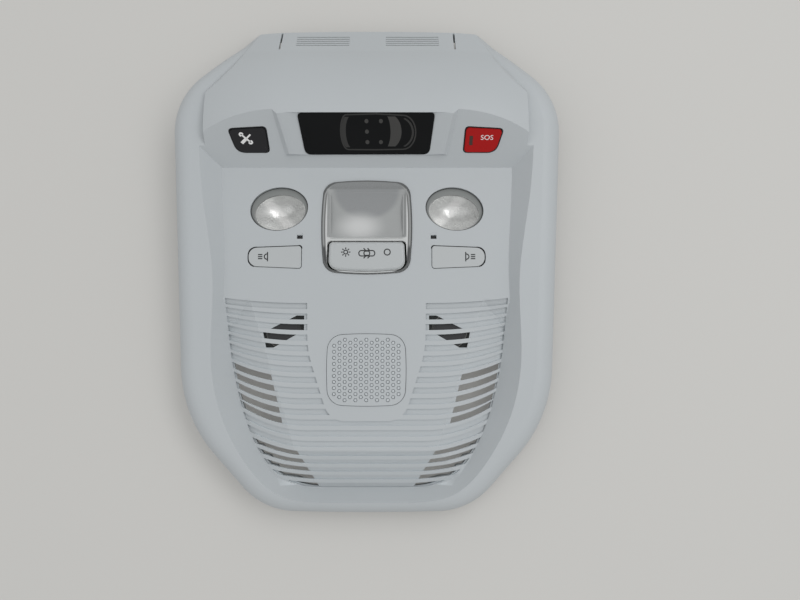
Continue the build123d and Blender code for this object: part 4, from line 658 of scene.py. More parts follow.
class ConsoleFinish(bpy.types.PropertyGroup):
    """Colours and surface of the mouldings."""

    shell: bpy.props.FloatVectorProperty(
        name="Shell", description="Colour of the console moulding",
        default=(0.468, 0.498, 0.515), min=0.0, max=1.0, size=3, subtype="COLOR",
    )
    button: bpy.props.FloatVectorProperty(
        name="Grey buttons", description="Colour of the reading buttons and the dome switch",
        default=(0.466, 0.490, 0.498), min=0.0, max=1.0, size=3, subtype="COLOR",
    )
    black: bpy.props.FloatVectorProperty(
        name="Black", description="Colour of the assistance button",
        default=(0.012, 0.012, 0.014), min=0.0, max=1.0, size=3, subtype="COLOR",
    )
    red: bpy.props.FloatVectorProperty(
        name="Red", description="Colour of the emergency button",
        default=(0.39, 0.010, 0.010), min=0.0, max=1.0, size=3, subtype="COLOR",
    )
    roughness: bpy.props.FloatProperty(
        name="Roughness", description="Roughness of the moulded grain",
        default=0.5, min=0.0, max=1.0, subtype="FACTOR",
    )


class SignSizes(bpy.types.PropertyGroup):
    """Sizes of the printed signs, in millimetres."""

    line: bpy.props.FloatProperty(
        name="Line", description="Width of a printed line in mm", default=0.68, min=0.1,
    )
    height: bpy.props.FloatProperty(
        name="Height", description="Height of the print in mm", default=0.08, min=0.02,
    )
    letters: bpy.props.FloatProperty(
        name="Letters", description="Height of the lettering in mm", default=4.3, min=1.0,
    )


class StageSettings(bpy.types.PropertyGroup):
    """Floor, lights and camera."""

    floor: bpy.props.FloatVectorProperty(
        name="Floor", description="Colour of the floor",
        default=(0.60, 0.595, 0.575), min=0.0, max=1.0, size=3, subtype="COLOR",
    )
    backdrop: bpy.props.FloatProperty(
        name="Backdrop",
        description="Share of the floor's colour that shows whatever light falls on it",
        default=0.20, min=0.0, max=1.0, subtype="FACTOR",
    )
    key: bpy.props.FloatProperty(
        name="Key light", description="Power of the soft key light in watts",
        default=5.4, min=0.0, unit="POWER",
    )
    world: bpy.props.FloatProperty(
        name="World", description="Strength of the surrounding light", default=0.62, min=0.0,
    )
    lens: bpy.props.FloatProperty(
        name="Lens", description="Focal length in mm on a 36 mm sensor",
        default=34.2, min=10.0, unit="CAMERA",
    )


class CONSOLE_OT_mouldings(bpy.types.Operator):
    """Finish the shell, the microphone grille, the buttons and the dome switch"""

    bl_idname = "console.mouldings"
    bl_label = "Mouldings"

    def execute(self, context):
        look = context.scene.console_finish
        shell = tuple(look.shell)
        grey = tuple(look.button)
        polished = look.roughness - BUTTON_POLISH
        finish(["bezel"], self.shell(shell, look.roughness))
        finish(["microphone_grille"], moulded("grille_grey", shell, look.roughness))
        button = moulded("grey_button", grey, polished, FINE_GRAIN, FINE_DEPTH)
        finish(["left_reading_button", "right_reading_button"], button)
        finish(["dome_switch"], self.switch_cap(grey, polished))
        black = moulded(
            "black_button", tuple(look.black),
            roughness=0.38, grain=2000.0, depth=0.00003, mottle=0.08, gloss=0.3,
        )
        finish(["assistance_button"], black)
        red = moulded(
            "red_button", tuple(look.red),
            roughness=0.36, grain=2000.0, depth=0.00002, mottle=0.04, gloss=0.12,
        )
        finish(["emergency_button"], red)
        tint = moulded(
            "indicator_tint", INDICATOR_TINT, roughness=0.25, grain=900.0, depth=0.00001, mottle=0.1
        )
        finish(["emergency_indicator"], tint)
        return {"FINISHED"}

    def shell(self, colour, roughness):
        """Grained moulding, with painted light on the grooves' walls and painted shade in the strip's
        grooves and on the collars.
        """
        paint = Paint("console_shell")
        x, y, z = paint.axes()
        texture, base, rough = grained(paint, colour, roughness)
        base = paint.blend(self.strip_groove_shade(x, y, z), base, shade(colour, STRIP_SHADE_TONE))
        base = paint.blend(self.lit_groove_walls(paint, x, y, z), base, shade(colour, GROOVE_LIGHT_TONE))
        base = paint.blend(self.collar_shade(x, y, z), base, COLLAR_SHADE)
        normal = paint.bump(texture, GRAIN_BUMP, GRAIN_DEPTH)
        return paint.surface(Base_Color=base, Roughness=rough, Normal=normal)

    def strip_groove_shade(self, x, y, z):
        """One in the fine grooves of the front strip, below its face, where painted shade goes."""
        along = math.sin(STRIP_TURN) * (y - STRIP_MID.y)
        above = along + math.cos(STRIP_TURN) * (z - STRIP_MID.z)
        return above.ramp(*STRIP_SINK) * y.ramp(*STRIP_START) * abs(x).ramp(*STRIP_ENDS)

    def lit_groove_walls(self, paint, x, y, z):
        """One on walls that face the front or the rear, inside the field of the louvres, where painted
        light goes.
        """
        facing = paint.parts(paint.node("ShaderNodeTexCoord", output="Normal"))[1]
        back = y - GROOVE_TOP
        inward = GROOVE_HALF - GROOVE_TAPER * back * back - abs(x)
        field = y.ramp(*GROOVE_FRONT) * y.ramp(GROOVE_REAR, GROOVE_REAR + GROOVE_SOFT)
        field = field * inward.ramp(0.0, GROOVE_SOFT)
        return abs(facing).ramp(*GROOVE_STEEP) * field * (z - GROOVE_FOOT).ramp(0.0, GROOVE_SOFT)

    def collar_shade(self, x, y, z):
        """One around the ultrasonic sensors, below the level of their faces, where painted shade goes.
        """
        reach = (abs(x) - SENSOR_MID.x).hypot(y - SENSOR_MID.y)
        near = reach.ramp(SENSOR_DARK + COLLAR_SOFT, SENSOR_DARK)
        return near * (z - SENSOR_MID.z).ramp(*COLLAR_TOP)

    def switch_cap(self, colour, roughness):
        """The dome switch's cap, with painted light on its sides where they go down into the lens."""
        paint = Paint("dome_switch_cap")
        z = paint.axes()[2]
        sunk = (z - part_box("dome_switch")[1].z).ramp(*CAP_SUNK)
        grain = paint.noise(FINE_GRAIN)
        top = paint.blend(grain, shade(colour, 1.0 - MOTTLE), shade(colour, 1.0 + MOTTLE))
        base = paint.blend(sunk, top, CAP_SIDE_LIGHT)
        normal = paint.bump(grain, strength=0.3, distance=FINE_DEPTH)
        return paint.surface(Base_Color=base, Roughness=roughness, Normal=normal)


class CONSOLE_OT_lamps(bpy.types.Operator):
    """Finish the dome lens, the tray behind it, the lamp lenses and the light guides"""

    bl_idname = "console.lamps"
    bl_label = "Lamps"

    def execute(self, context):
        finish(["dome_lens"], self.frosted_lens())
        finish(["left_lamp_lens", "right_lamp_lens"], self.clear_lens())
        tray = moulded("white_tray", TRAY_WHITE, roughness=0.4, grain=800.0, depth=0.00004)
        finish(["dome_reflector"], tray)
        finish(["left_light_guide", "right_light_guide"], self.light_guide())
        return {"FINISHED"}

    def frosted_lens(self):
        """Rim with painted light and shade around a frosted window."""
        paint = Paint("dome_lens_frost", IOR=1.49, Coat_Roughness=0.08)
        x, y, z = paint.axes()
        frost = paint.noise(FROST, detail=3.0)
        beyond = (abs(x) - WINDOW_HALF).most(abs(y - WINDOW_MID) - WINDOW_REACH)
        window = beyond.ramp(WINDOW_SOFT, -WINDOW_SOFT)
        pane = self.window_pane(paint, x, y, frost)
        base = paint.blend(window, self.lens_rim(paint, x, y, z), pane)
        rough = 0.24 + 0.22 * window + 0.06 * frost
        coat = 0.35 - 0.25 * window
        normal = paint.bump(frost, strength=0.25, distance=0.00003)
        return paint.surface(Base_Color=base, Roughness=rough, Coat_Weight=coat, Normal=normal)

    def window_pane(self, paint, x, y, frost):
        """Frosted pane, with a painted highlight where the lamp lies and a painted shadow above it."""
        highlight_x = (x - PANE_HIGHLIGHT_MID[0]) / PANE_HIGHLIGHT_HALF[0]
        pane_highlight = highlight_x.hypot((y - PANE_HIGHLIGHT_MID[1]) / PANE_HIGHLIGHT_HALF[1])
        shadow = (x / SHADOW_HALF[0]).hypot((y - SHADOW_MID) / SHADOW_HALF[1])
        pane = paint.blend(shadow.ramp(*SHADOW_FADE), PANE_GREY, PANE_SHADOW)
        pane = paint.blend(pane_highlight.ramp(*PANE_HIGHLIGHT_FADE), pane, PANE_HIGHLIGHT)
        return paint.blend(FROST_SHARE * frost, pane, PANE_FROST)

    def lens_rim(self, paint, x, y, z):
        """Rim in painted light and shade: lines along its sides, dark lower corners and edge, a pale
        sill and a pale seat for the switch.
        """
        aside = abs(x)
        edge = self.depth_in(x, y)
        side = (aside - SIDE_START).ramp(0.0, SIDE_SOFT)
        rim = paint.blend(y.ramp(*RIM_RISE), RIM_LIT, RIM_SHADED)
        rim = paint.blend(side, rim, SIDE_SHADE_GREY)
        rim = paint.blend(self.band(edge, *SIDE_GROOVE) * side, rim, SIDE_GROOVE_SHADE)
        rim = paint.blend(self.band(edge, *SIDE_LINE) * side, rim, SIDE_HIGHLIGHT)
        swell = CORNER_SWELL * (aside - CORNER_START).ramp(0.0, CORNER_RUN)
        corner = (edge - CORNER_IN - swell).ramp(CORNER_SOFT, -CORNER_SOFT)
        rim = paint.blend(corner * y.ramp(*CORNER_LOW), rim, CORNER_SHADE)
        rim = paint.blend(edge.ramp(*EDGE_FADE), rim, EDGE_SHADE)
        sill = (aside - WINDOW_HALF).ramp(SILL_SOFT, -SILL_SOFT)
        sill = sill * self.band(y, SILL_FOOT, WINDOW_MID - WINDOW_REACH)
        rim = paint.blend(sill, rim, SILL_LIGHT)
        sunk = (z - LENS_FACE).ramp(*SWITCH_SEAT_SUNK) * y.ramp(*SWITCH_SEAT_TOP)
        return paint.blend(sunk, rim, SWITCH_SEAT_LIGHT)

    def band(self, field, start, end):
        """One between two values, with soft ends."""
        rise = field.ramp(start - BAND_SOFT, start + BAND_SOFT)
        return rise * field.ramp(end + BAND_SOFT, end - BAND_SOFT)

    def depth_in(self, x, y):
        """Distance inwards from the bowed outline of the dome lens."""
        rise = (y - LENS_MID) / LENS_HALF.y
        run = x / LENS_HALF.x
        far_x = abs(x) - (LENS_HALF.x - LENS_CORNER - LENS_BOW * rise * rise)
        far_y = abs(y - LENS_MID) - (LENS_HALF.y - LENS_CORNER - LENS_BOW * run * run)
        beyond = far_x.most(0.0).hypot(far_y.most(0.0)) + far_x.most(far_y).least(0.0)
        return LENS_CORNER - beyond

    def clear_lens(self):
        """Clear pane set low, ringed by painted shade that stands for a sloping well wall."""
        paint = Paint("lamp_lens_clear", IOR=1.45)
        x, y, _ = paint.axes()
        across = abs(x) - LAMP_MID.x
        along = y - LAMP_MID.y
        u = across * math.cos(LAMP_TILT) - along * math.sin(LAMP_TILT)
        v = across * math.sin(LAMP_TILT) + along * math.cos(LAMP_TILT)
        pane = (u / PANE_HALF.x).hypot((v + PANE_DROP) / PANE_HALF.y)
        lens = (u / LAMP_HALF.x).hypot(v / LAMP_HALF.y)
        rim = pane.ramp(*PANE_EDGE)
        ripple = paint.noise(scale=140.0, detail=1.0)
        well_shade = paint.blend(pane.ramp(*WELL_SLOPE), *WELL_SHADE_TONES)
        well_shade = paint.blend(lens.ramp(*WELL_EDGE), well_shade, WELL_EDGE_SHADE)
        base = paint.blend(rim, paint.blend(ripple, *PANE_TINTS), well_shade)
        alpha = PANE_ALPHA + (1.0 - PANE_ALPHA) * rim
        rough = 0.10 + 0.16 * rim + 0.04 * ripple
        normal = paint.bump(ripple, strength=0.08, distance=0.0002)
        return paint.surface(Base_Color=base, Alpha=alpha, Roughness=rough, Normal=normal)

    def light_guide(self):
        """End of a light guide, painted near black as the shade in its hole."""
        paint = Paint("light_guide_shade", IOR=1.49)
        cloud = paint.noise(scale=400.0)
        base = paint.blend(cloud, *GUIDE_SHADE_TONES)
        return paint.surface(Base_Color=base, Roughness=0.2 + 0.1 * cloud)


class CONSOLE_OT_reflectors(bpy.types.Operator):
    """Model the plated bowls of the reading lamps, dished and faceted"""

    bl_idname = "console.reflectors"
    bl_label = "Lamp reflectors"

    def execute(self, context):
        plating = self.plating()
        squeeze = Matrix.Diagonal((1.0, BOWL_OVAL, 1.0, 1.0))
        for side, hand in HANDS:
            low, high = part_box(f"{hand}_reflector")
            bowl = self.bowl(low.z, high.z - BOWL_WALL)
            middle = Matrix.Translation(((low.x + high.x) / 2, (low.y + high.y) / 2, 0.0))
            place = middle @ Matrix.Rotation(-side * LAMP_TILT, 4, "Z") @ squeeze
            settle(bowl, f"{hand}_plated_bowl", place, "console", plating)
            bpy.ops.object.shade_flat()
            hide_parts(f"{hand}_reflector")
        return {"FINISHED"}

    def bowl(self, foot, rim):
        """Rings drawn in from a flat collar along a parabola, closed at the foot and given a wall."""
        deselect()
        radius = BOWL_R + BOWL_COLLAR
        height = rim
        bpy.ops.mesh.primitive_circle_add(vertices=BOWL_SIDES, radius=radius, location=(0.0, 0.0, rim))
        made = bpy.context.object
        bpy.ops.object.transform_apply(location=True)
        edit_all()
        for step in range(BOWL_RINGS + 1):
            reach = BOWL_R + (BOWL_NECK - BOWL_R) * step / BOWL_RINGS
            fall = (reach**2 - BOWL_NECK**2) / (BOWL_R**2 - BOWL_NECK**2)
            level = foot + BOWL_WALL + (rim - foot - BOWL_WALL) * fall
            drop = (0.0, 0.0, level - height)
            bpy.ops.mesh.extrude_edges_move(TRANSFORM_OT_translate={"value": drop})
            bpy.ops.transform.resize(value=(reach / radius, reach / radius, 1.0))
            radius, height = reach, level
        bpy.ops.mesh.edge_face_add()
        bpy.ops.mesh.select_all(action="SELECT")
        bpy.ops.mesh.normals_make_consistent(inside=False)
        bpy.ops.object.mode_set(mode="OBJECT")
        wall = made.modifiers.new("wall", "SOLIDIFY")
        wall.thickness = BOWL_WALL
        wall.offset = -1.0 if made.data.polygons[0].normal.z > 0 else 1.0
        bpy.ops.object.modifier_apply(modifier=wall.name)
        return made

    def plating(self):
        """Satin plating with a painted highlight along a slanting streak left of the middle, and
        painted light on one side.
        """
        paint = Paint("reflector_plating", Metallic=0.35)
        x, y, _ = paint.axes()
        hand = x / abs(x)
        slant = STREAK_RUN * (abs(x) - LAMP_MID.x) - STREAK_RISE * (y - LAMP_MID.y)
        slant = hand * slant
        haze = paint.noise(scale=160.0)
        fine = paint.noise(scale=900.0)
        lit_ground = paint.blend(slant.ramp(*PLATE_TURN), *PLATE_LIT_AND_SHADED)
        glint = (abs(slant + STREAK_MID) / STREAK_HALF).ramp(*STREAK_FADE)
        base = paint.blend(glint, lit_ground, STREAK_HIGHLIGHT)
        normal = paint.bump(fine, strength=0.25, distance=0.0002)
        return paint.surface(Base_Color=base, Roughness=0.24 + 0.10 * haze, Normal=normal)


class CONSOLE_OT_grille_felt(bpy.types.Operator):
    """Let the felt behind the microphone grille swell into its holes"""

    bl_idname = "console.grille_felt"
    bl_label = "Grille felt"

    def execute(self, context):
        low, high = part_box("acoustic_felt")
        middle = (low.y + high.y) / 2
        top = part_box("microphone_grille")[1].z - HOLE_SINK
        height = (top + high.z) / 2
        tufts = []
        for across in range(-HOLE_REACH, HOLE_REACH + 1):
            rows = HOLE_ROWS - across % 2
            for row in range(rows):
                if abs(across) == HOLE_REACH and row in (0, rows - 1):
                    continue
                up = middle + (row - (rows - 1) / 2) * HOLE_ROW
                spot = (across * HOLE_COLUMN, up, height)
                tuft = self.copied(tufts[0], spot) if tufts else self.tuft(spot, top - high.z)
                tufts.append(tuft)
        felt = moulded("felt_tuft", TUFT_GREY, roughness=0.95, grain=2600.0, depth=0.0001, mottle=0.08)
        settle(join(tufts), "felt_tufts", Matrix.Identity(4), "console", felt)
        return {"FINISHED"}

    def tuft(self, spot, depth):
        """A low round swelling with a soft edge."""
        deselect()
        bpy.ops.mesh.primitive_cylinder_add(
            vertices=TUFT_SIDES, radius=TUFT_R, depth=depth, location=spot
        )
        made = bpy.context.object
        bpy.ops.object.transform_apply(location=True)
        edit_all()
        bpy.ops.mesh.bevel(offset=TUFT_BEVEL, segments=1)
        bpy.ops.object.mode_set(mode="OBJECT")
        return made

    def copied(self, first, spot):
        """The same swelling in another hole, with a mesh of its own."""
        only(first)
        bpy.ops.object.duplicate(linked=False)
        made = bpy.context.object
        start = sum((Vector(corner) for corner in first.bound_box), Vector()) / len(first.bound_box)
        made.location = Vector(spot) - start
        bpy.ops.object.transform_apply(location=True)
        return made


class CONSOLE_OT_sensor_foam(bpy.types.Operator):
    """Cut the dark foam that lies behind the slanted slots, around each ultrasonic sensor"""

    bl_idname = "console.sensor_foam"
    bl_label = "Sensor foam"

    def execute(self, context):
        dark = moulded(
            "dark_foam", FOAM_BLACK, roughness=0.9, grain=1600.0, depth=0.0002, mottle=0.15, gloss=0.2
        )
        place = Matrix.Translation((0.0, 0.0, SENSOR_MID.z - FOAM_T * MM / 2 - FOAM_GAP))
        for side, hand in HANDS:
            sheet = patch(on_side(side, FOAM_EDGE), FOAM_T)
            self.punch(sheet, (side * SENSOR_MID.x, SENSOR_MID.y, 0.0))
            settle(sheet, f"{hand}_sensor_foam", place, "console", dark)
        return {"FINISHED"}

    def punch(self, sheet, spot):
        """Cut the sensor's round hole out of the sheet."""
        bpy.ops.mesh.primitive_cylinder_add(
            vertices=PUNCH_SIDES, radius=SENSOR_DARK, depth=PUNCH_DEPTH, location=spot
        )
        cutter = bpy.context.object
        only(sheet)
        hole = sheet.modifiers.new("hole", "BOOLEAN")
        hole.operation = "DIFFERENCE"
        hole.object = cutter
        bpy.ops.object.modifier_apply(modifier=hole.name)
        bpy.data.objects.remove(cutter)


class CONSOLE_OT_seams(bpy.types.Operator):
    """Model the painted gap shadows around the buttons, as dark strips, and the small ramps above the
    light guides
    """

    bl_idname = "console.seams"
    bl_label = "Button seams"

    def execute(self, context):
        look = context.scene.console_finish
        gap_shadow = moulded(
            "gap_shadow_paint", GAP_SHADOW_BLACK, roughness=0.7, grain=1800.0, depth=0.00003, mottle=0.1, gloss=0.2
        )
        shell = moulded("ramp_grey", tuple(look.shell), look.roughness)
        for (side, hand), call in zip(HANDS, ("assistance", "emergency")):
            around = rounded(on_side(side, CALL_EDGE), CALL_RADII)
            gap_line = stroke([(around, True)], CALL_SHADOW_W, CALL_SHADOW_T)
            place = face_place(0.0, 0.0, 0.0)
            settle(gap_line, f"{call}_lip", place, "console", gap_shadow)
            gap_line = self.reading_gap_shadow(side)
            place = panel_place(0.0, 0.0, PANEL_Z)
            settle(gap_line, f"{hand}_reading_gap_shadow", place, "console", gap_shadow)
            across, up, height = RAMP_SPOT
            place = panel_place(side * across, up, height)
            settle(self.ramp(), f"{hand}_guide_ramp", place, "console", shell)
        return {"FINISHED"}

    def reading_gap_shadow(self, side):
        """Painted gap shadow over the top and around the outer end of the button, wider at its corners.
        """
        around = rounded(on_side(side, READ_EDGE), READ_RADII)
        corner = CORNER_STEPS + 1
        inner = around[:corner]
        outer = around[corner:3 * corner - 1]
        thin = stroke([(inner + outer, False)], READ_SHADOW_W, READ_SHADOW_T)
        wide = [(inner, False), (outer[:READ_WIDE_STEPS], False)]
        return join([thin, stroke(wide, READ_SHADOW_WIDE, READ_SHADOW_T)])

    def ramp(self):
        """A small plate that falls towards the light guide."""
        low, high = (-RAMP_HALF, 0.0), (RAMP_HALF, RAMP_RUN)
        made = patch([low, (high[0], low[1]), high, (low[0], high[1])], RAMP_T)
        only(made)
        edit_all()
        hinge = (0.0, RAMP_RUN * MM, 0.0)
        bpy.ops.transform.rotate(value=RAMP_FALL, orient_axis="X", center_override=hinge)
        bpy.ops.object.mode_set(mode="OBJECT")
        return made


class CONSOLE_OT_display(bpy.types.Operator):
    """Finish the display window, lay its cover plate on it and print the plan of a car there"""

    bl_idname = "console.display"
    bl_label = "Display"

    def execute(self, context):
        height = context.scene.console_signs.height
        glass = self.glass()
        finish(["display_window"], glass)
        cover = patch(rounded(DISPLAY_EDGE, DISPLAY_RADII), DISPLAY_COVER_T)
        place = face_place(0.0, 0.0, DISPLAY_TOP - DISPLAY_COVER_T / 2)
        settle(cover, "display_cover", place, "console", glass)
        dark = ink("display_sign_dark", PLAN_DARK)
        mid = ink("display_sign_mid", PLAN_MID)
        outline = [*arc(*PLAN_REAR), *PLAN_LOW_SIDE, *arc(*PLAN_NOSE), PLAN_HIGH_SIDE]
        plan = (
            ("car_outline", stroke([(outline, True)], PLAN_LINE, height), dark),
            ("rear_screen", self.crescent(REAR_SCREEN, height), dark),
            ("car_screen", self.crescent(WINDSCREEN, height), mid),
            ("car_hood", self.crescent(HOOD_LINE, height), dark),
            ("seats", self.seats(height), mid),
        )
        place = face_place(0.0, 0.0, DISPLAY_TOP)
        for name, piece, tone in plan:
            settle(piece, f"display_{name}", place, "console", tone)
        return {"FINISHED"}

    def crescent(self, arcs, height):
        """A shape between two arcs."""
        out, home = arcs
        return patch(arc(*out) + arc(*home), height)

    def seats(self, height):
        """A dot for each seat."""
        return join([patch(arc(spot, SEAT_RADII, SEAT_TURN, SEAT_STEPS), height) for spot in SEATS])

    def glass(self):
        """Dark window with a faint smear."""
        paint = Paint("display_glass", Specular_IOR_Level=0.12)
        smear = paint.noise(scale=45.0, detail=3.0)
        base = paint.blend(smear, *GLASS_TONES)
        return paint.surface(Base_Color=base, Roughness=0.22 + 0.16 * smear)


class CONSOLE_OT_dome_signs(bpy.types.Operator):
    """Print sun, car with open doors and circle on the dome switch"""

    bl_idname = "console.dome_signs"
    bl_label = "Dome switch signs"

    def execute(self, context):
        sizes = context.scene.console_signs
        grey = ink("sign_grey", SIGN_GREY)
        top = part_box("dome_switch")[1].z / MM
        signs = (
            ("sun", SUN_SPOT, [(ring(SUN_R), True), *self.rays()]),
            ("doors", DOORS_SPOT, self.open_car()),
            ("circle", CIRCLE_SPOT, [(ring(CIRCLE_R), True)]),
        )
        for name, spot, lines in signs:
            sign = stroke(lines, sizes.line, sizes.height)
            place = panel_place(*spot, top)
            settle(sign, f"dome_sign_{name}", place, "dome_rocker", grey)
        return {"FINISHED"}

    def rays(self):
        """Short lines around the sun."""
        lines = []
        for k in range(SUN_RAYS):
            turn = math.radians(360.0 * k / SUN_RAYS)
            lines.append(([(r * math.cos(turn), r * math.sin(turn)) for r in SUN_RAY], False))
        return lines

    def open_car(self):
        """Plan of a car with its cabin and four open doors."""
        body = long_oval(CAR_REACH, CAR_END, CAR_STEPS)
        cabin = long_oval(CABIN_REACH, CABIN_END, CABIN_STEPS)
        doors = [
            ([(x, side * CAR_END[1]), (x - DOOR_SWING, side * DOOR_TIP)], False)
            for x in DOOR_HINGES
            for side in (-1, 1)
        ]
        return [(body, True), (cabin, True), *doors]


class CONSOLE_OT_reading_signs(bpy.types.Operator):
    """Print a lamp with its beam on each reading button"""

    bl_idname = "console.reading_signs"
    bl_label = "Reading button signs"

    def execute(self, context):
        sizes = context.scene.console_signs
        grey = ink("lamp_sign_grey", LAMP_SIGN_GREY)
        across, up = LAMP_SIGN_SPOT
        beams = [[(x, y) for x in BEAM_ENDS] for y in BEAM_ROWS]
        for side, hand in HANDS:
            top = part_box(f"{hand}_reading_button")[1].z / MM
            lines = [(on_side(-side, line), False) for line in (arc(*LAMP_BULB), LAMP_CAP, *beams)]
            sign = stroke(lines, sizes.line, sizes.height)
            place = panel_place(side * across, up, top)
            settle(sign, f"{hand}_lamp_sign", place, f"{hand}_reading", grey)
        return {"FINISHED"}


class CONSOLE_OT_call_signs(bpy.types.Operator):
    """Print crossed tools on the black button and letters on the red one"""

    bl_idname = "console.call_signs"
    bl_label = "Call button signs"

    def execute(self, context):
        sizes = context.scene.console_signs
        white = ink("sign_white", SIGN_WHITE)
        tools = self.tools(sizes.height)
        place = face_place(*TOOLS_SPOT, CALL_TOP)
        settle(tools, "assistance_sign", place, "assistance", white)
        letters = lettering("SOS", sizes.letters, sizes.height)
        place = face_place(*LETTERS_SPOT, CALL_TOP)
        settle(letters, "emergency_letters", place, "emergency", white)
        return {"FINISHED"}

    def tools(self, height):
        """A spanner and a screwdriver, crossed."""
        spanner = [(SPANNER_SHAFT, False), *((arc(*jaw), False) for jaw in SPANNER_JAWS)]
        drawn = join([
            stroke(spanner, SPANNER_LINE, height),
            stroke([(DRIVER_HANDLE, False)], DRIVER_HANDLE_LINE, height),
            stroke([(DRIVER_BLADE, False)], DRIVER_BLADE_LINE, height),
        ])
        drawn.scale = (TOOLS_SCALE, TOOLS_SCALE, 1.0)
        bpy.ops.object.transform_apply(scale=True)
        return drawn


class CONSOLE_OT_inner_parts(bpy.types.Operator):
    """Finish what is behind the face: boards, switches, holders, screws, clips and covers"""

    bl_idname = "console.inner_parts"
    bl_label = "Inner parts"

    def execute(self, context):
        black = moulded("black_moulding", BLACK, roughness=0.45, grain=1300.0, mottle=0.1)
        sensors = ["left_ultrasonic_sensor", "right_ultrasonic_sensor"]
        finish(["microphone_holder", *sensors, "connector", "back_cover"], black)
        switch = moulded("switch_black", SWITCH_BLACK, roughness=0.5)
        finish(["call_switches", "reading_switches", "slide_switch"], switch)
        white = moulded("white_moulding", WHITE, roughness=0.45, grain=1300.0, depth=0.00004)
        pressed = ("assistance", "emergency", "left_reading", "right_reading")
        plungers = [f"{name}_plunger" for name in pressed]
        finish(["lamp_carrier", "display_light_box", "slide_knob", *plungers], white)
        finish(["front_board", "circuit_board"], self.board())
        resin = moulded("led_resin", LED_RESIN, roughness=0.25, grain=900.0, depth=0.00002, mottle=0.06)
        finish(["display_leds", "lamp_leds"], resin)
        felt = moulded("felt", FELT_GREY, roughness=0.95, grain=2600.0, depth=0.0002, mottle=0.12)
        finish(["acoustic_felt"], felt)
        finish(["microphone_capsule"], brushed("drawn_can", CAN_METAL, roughness=0.3))
        screws = brushed("zinc_screw", SCREW_METAL, roughness=0.32)
        finish(["microphone_screws", "board_screws", "module_screws"], screws)
        clips = brushed("spring_steel", CLIP_METAL, roughness=0.38, stretch=DRAWN_ALONG_Y)
        finish(["spring_clips"], clips)
        finish(["connector_contacts"], brushed("contact_plating", CONTACT_METAL, roughness=0.28))
        return {"FINISHED"}

    def board(self):
        """Lacquered board with tracks showing through."""
        paint = Paint("board_lacquer", Coat_Weight=0.4, Coat_Roughness=0.15)
        inputs = {"Vector": paint.place(), "Scale": TRACK_SCALE}
        cells = paint.node("ShaderNodeTexVoronoi", {"distance": "MANHATTAN"}, inputs)
        track = cells.ramp(*TRACK_EDGE)
        base = paint.blend(track, *BOARD_GREENS)
        normal = paint.bump(track, strength=0.3, distance=0.00004)
        return paint.surface(Base_Color=base, Roughness=0.35 + 0.1 * track, Normal=normal)


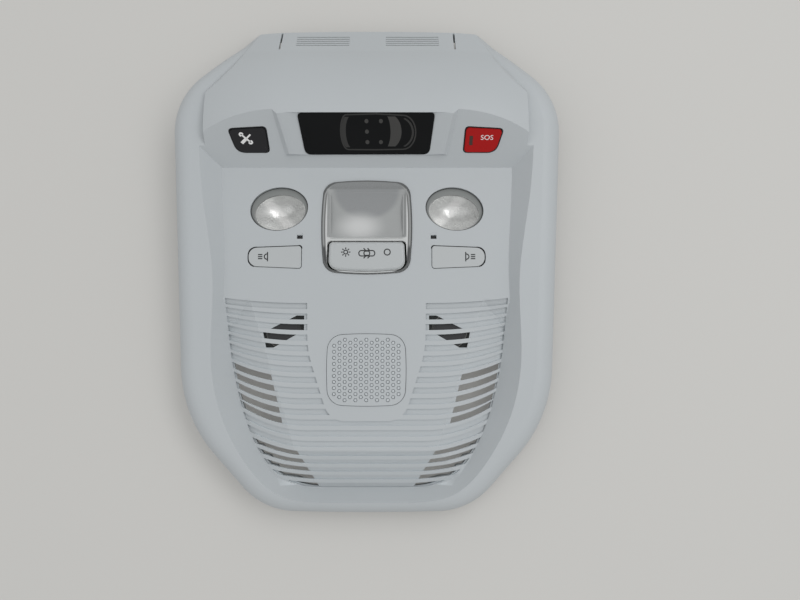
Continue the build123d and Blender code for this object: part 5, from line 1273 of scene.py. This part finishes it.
class CONSOLE_OT_studio(bpy.types.Operator):
    """Make the floor, the lights and the camera"""

    bl_idname = "console.studio"
    bl_label = "Studio"

    def execute(self, context):
        stage = context.scene.console_stage
        self.make_floor(stage)
        self.make_light("key_light", KEY_SPOT, KEY_SIZE, stage.key)
        self.make_light("fill_light", FILL_SPOT, FILL_SIZE, stage.key * FILL_SHARE)
        self.make_world(stage)
        self.make_camera(stage)
        context.scene.view_settings.view_transform = "Standard"
        return {"FINISHED"}

    def make_floor(self, stage):
        """Plain floor that keeps part of its colour wherever it is seen, lit or not."""
        deselect()
        bpy.ops.mesh.primitive_plane_add(size=FLOOR_SIZE)
        floor = bpy.context.object
        floor.name = "floor"
        paint = Paint("floor_paint", Specular_IOR_Level=0.2)
        cloud = paint.noise(FLOOR_CLOUD)
        colour = tuple(stage.floor)
        base = paint.blend(cloud, shade(colour, 1.0 - MOTTLE), shade(colour, 1.0 + MOTTLE))
        paint.surface(Base_Color=base, Roughness=0.6 + 0.1 * cloud)
        rays = paint.node("ShaderNodeLightPath").socket.node.outputs
        seen = Field(paint, rays["Is Camera Ray"]) + Field(paint, rays["Is Glossy Ray"])
        seen = (seen + Field(paint, rays["Is Transmission Ray"])).least(1.0)
        plain = paint.node("ShaderNodeEmission", None, {"Color": base, "Strength": 1.0})
        paint.over(stage.backdrop * seen, plain)
        floor.data.materials.append(paint.material)

    def make_light(self, name, spot, size, power):
        """Soft light aimed at the middle of the console."""
        deselect()
        bpy.ops.object.light_add(type="AREA", location=spot)
        lamp = bpy.context.object
        lamp.name = name
        lamp.data.shape = "RECTANGLE"
        lamp.data.size, lamp.data.size_y = size
        lamp.data.energy = power
        lamp.rotation_euler = Vector(spot).to_track_quat("Z", "Y").to_euler()

    def make_world(self, stage):
        """Even white light from all around."""
        world = bpy.context.scene.world or bpy.data.worlds.new("studio")
        bpy.context.scene.world = world
        world.use_nodes = True
        back = world.node_tree.nodes["Background"]
        back.inputs["Color"].default_value = (1.0, 1.0, 1.0, 1.0)
        back.inputs["Strength"].default_value = stage.world

    def make_camera(self, stage):
        """Camera almost square above the console."""
        deselect()
        bpy.ops.object.camera_add(location=CAMERA_SPOT, rotation=(CAMERA_TILT, 0.0, 0.0))
        camera = bpy.context.object
        camera.data.sensor_width = CAMERA_SENSOR
        camera.data.lens = stage.lens
        camera.data.clip_start = CAMERA_NEAR
        bpy.context.scene.camera = camera


STEPS = (
    CONSOLE_OT_mouldings,
    CONSOLE_OT_lamps,
    CONSOLE_OT_reflectors,
    CONSOLE_OT_grille_felt,
    CONSOLE_OT_sensor_foam,
    CONSOLE_OT_seams,
    CONSOLE_OT_display,
    CONSOLE_OT_dome_signs,
    CONSOLE_OT_reading_signs,
    CONSOLE_OT_call_signs,
    CONSOLE_OT_inner_parts,
    CONSOLE_OT_studio,
)


class CONSOLE_PT_panel(bpy.types.Panel):
    """Sidebar panel with the console's steps"""

    bl_idname = "CONSOLE_PT_panel"
    bl_label = "Overhead console"
    bl_space_type = "VIEW_3D"
    bl_region_type = "UI"
    bl_category = "Console"

    def draw(self, context):
        for step in STEPS:
            self.layout.operator(step.bl_idname)


CLASSES = (ConsoleFinish, SignSizes, StageSettings, *STEPS, CONSOLE_PT_panel)


def register():
    for each in CLASSES:
        bpy.utils.register_class(each)
    bpy.types.Scene.console_finish = bpy.props.PointerProperty(type=ConsoleFinish)
    bpy.types.Scene.console_signs = bpy.props.PointerProperty(type=SignSizes)
    bpy.types.Scene.console_stage = bpy.props.PointerProperty(type=StageSettings)


def unregister():
    del bpy.types.Scene.console_stage
    del bpy.types.Scene.console_signs
    del bpy.types.Scene.console_finish
    for each in reversed(CLASSES):
        bpy.utils.unregister_class(each)


def main():
    register()
    bpy.ops.console.mouldings()
    bpy.ops.console.lamps()
    bpy.ops.console.reflectors()
    bpy.ops.console.grille_felt()
    bpy.ops.console.sensor_foam()
    bpy.ops.console.seams()
    bpy.ops.console.display()
    bpy.ops.console.dome_signs()
    bpy.ops.console.reading_signs()
    bpy.ops.console.call_signs()
    bpy.ops.console.inner_parts()
    bpy.ops.console.studio()


if __name__ == "__main__":
    main()
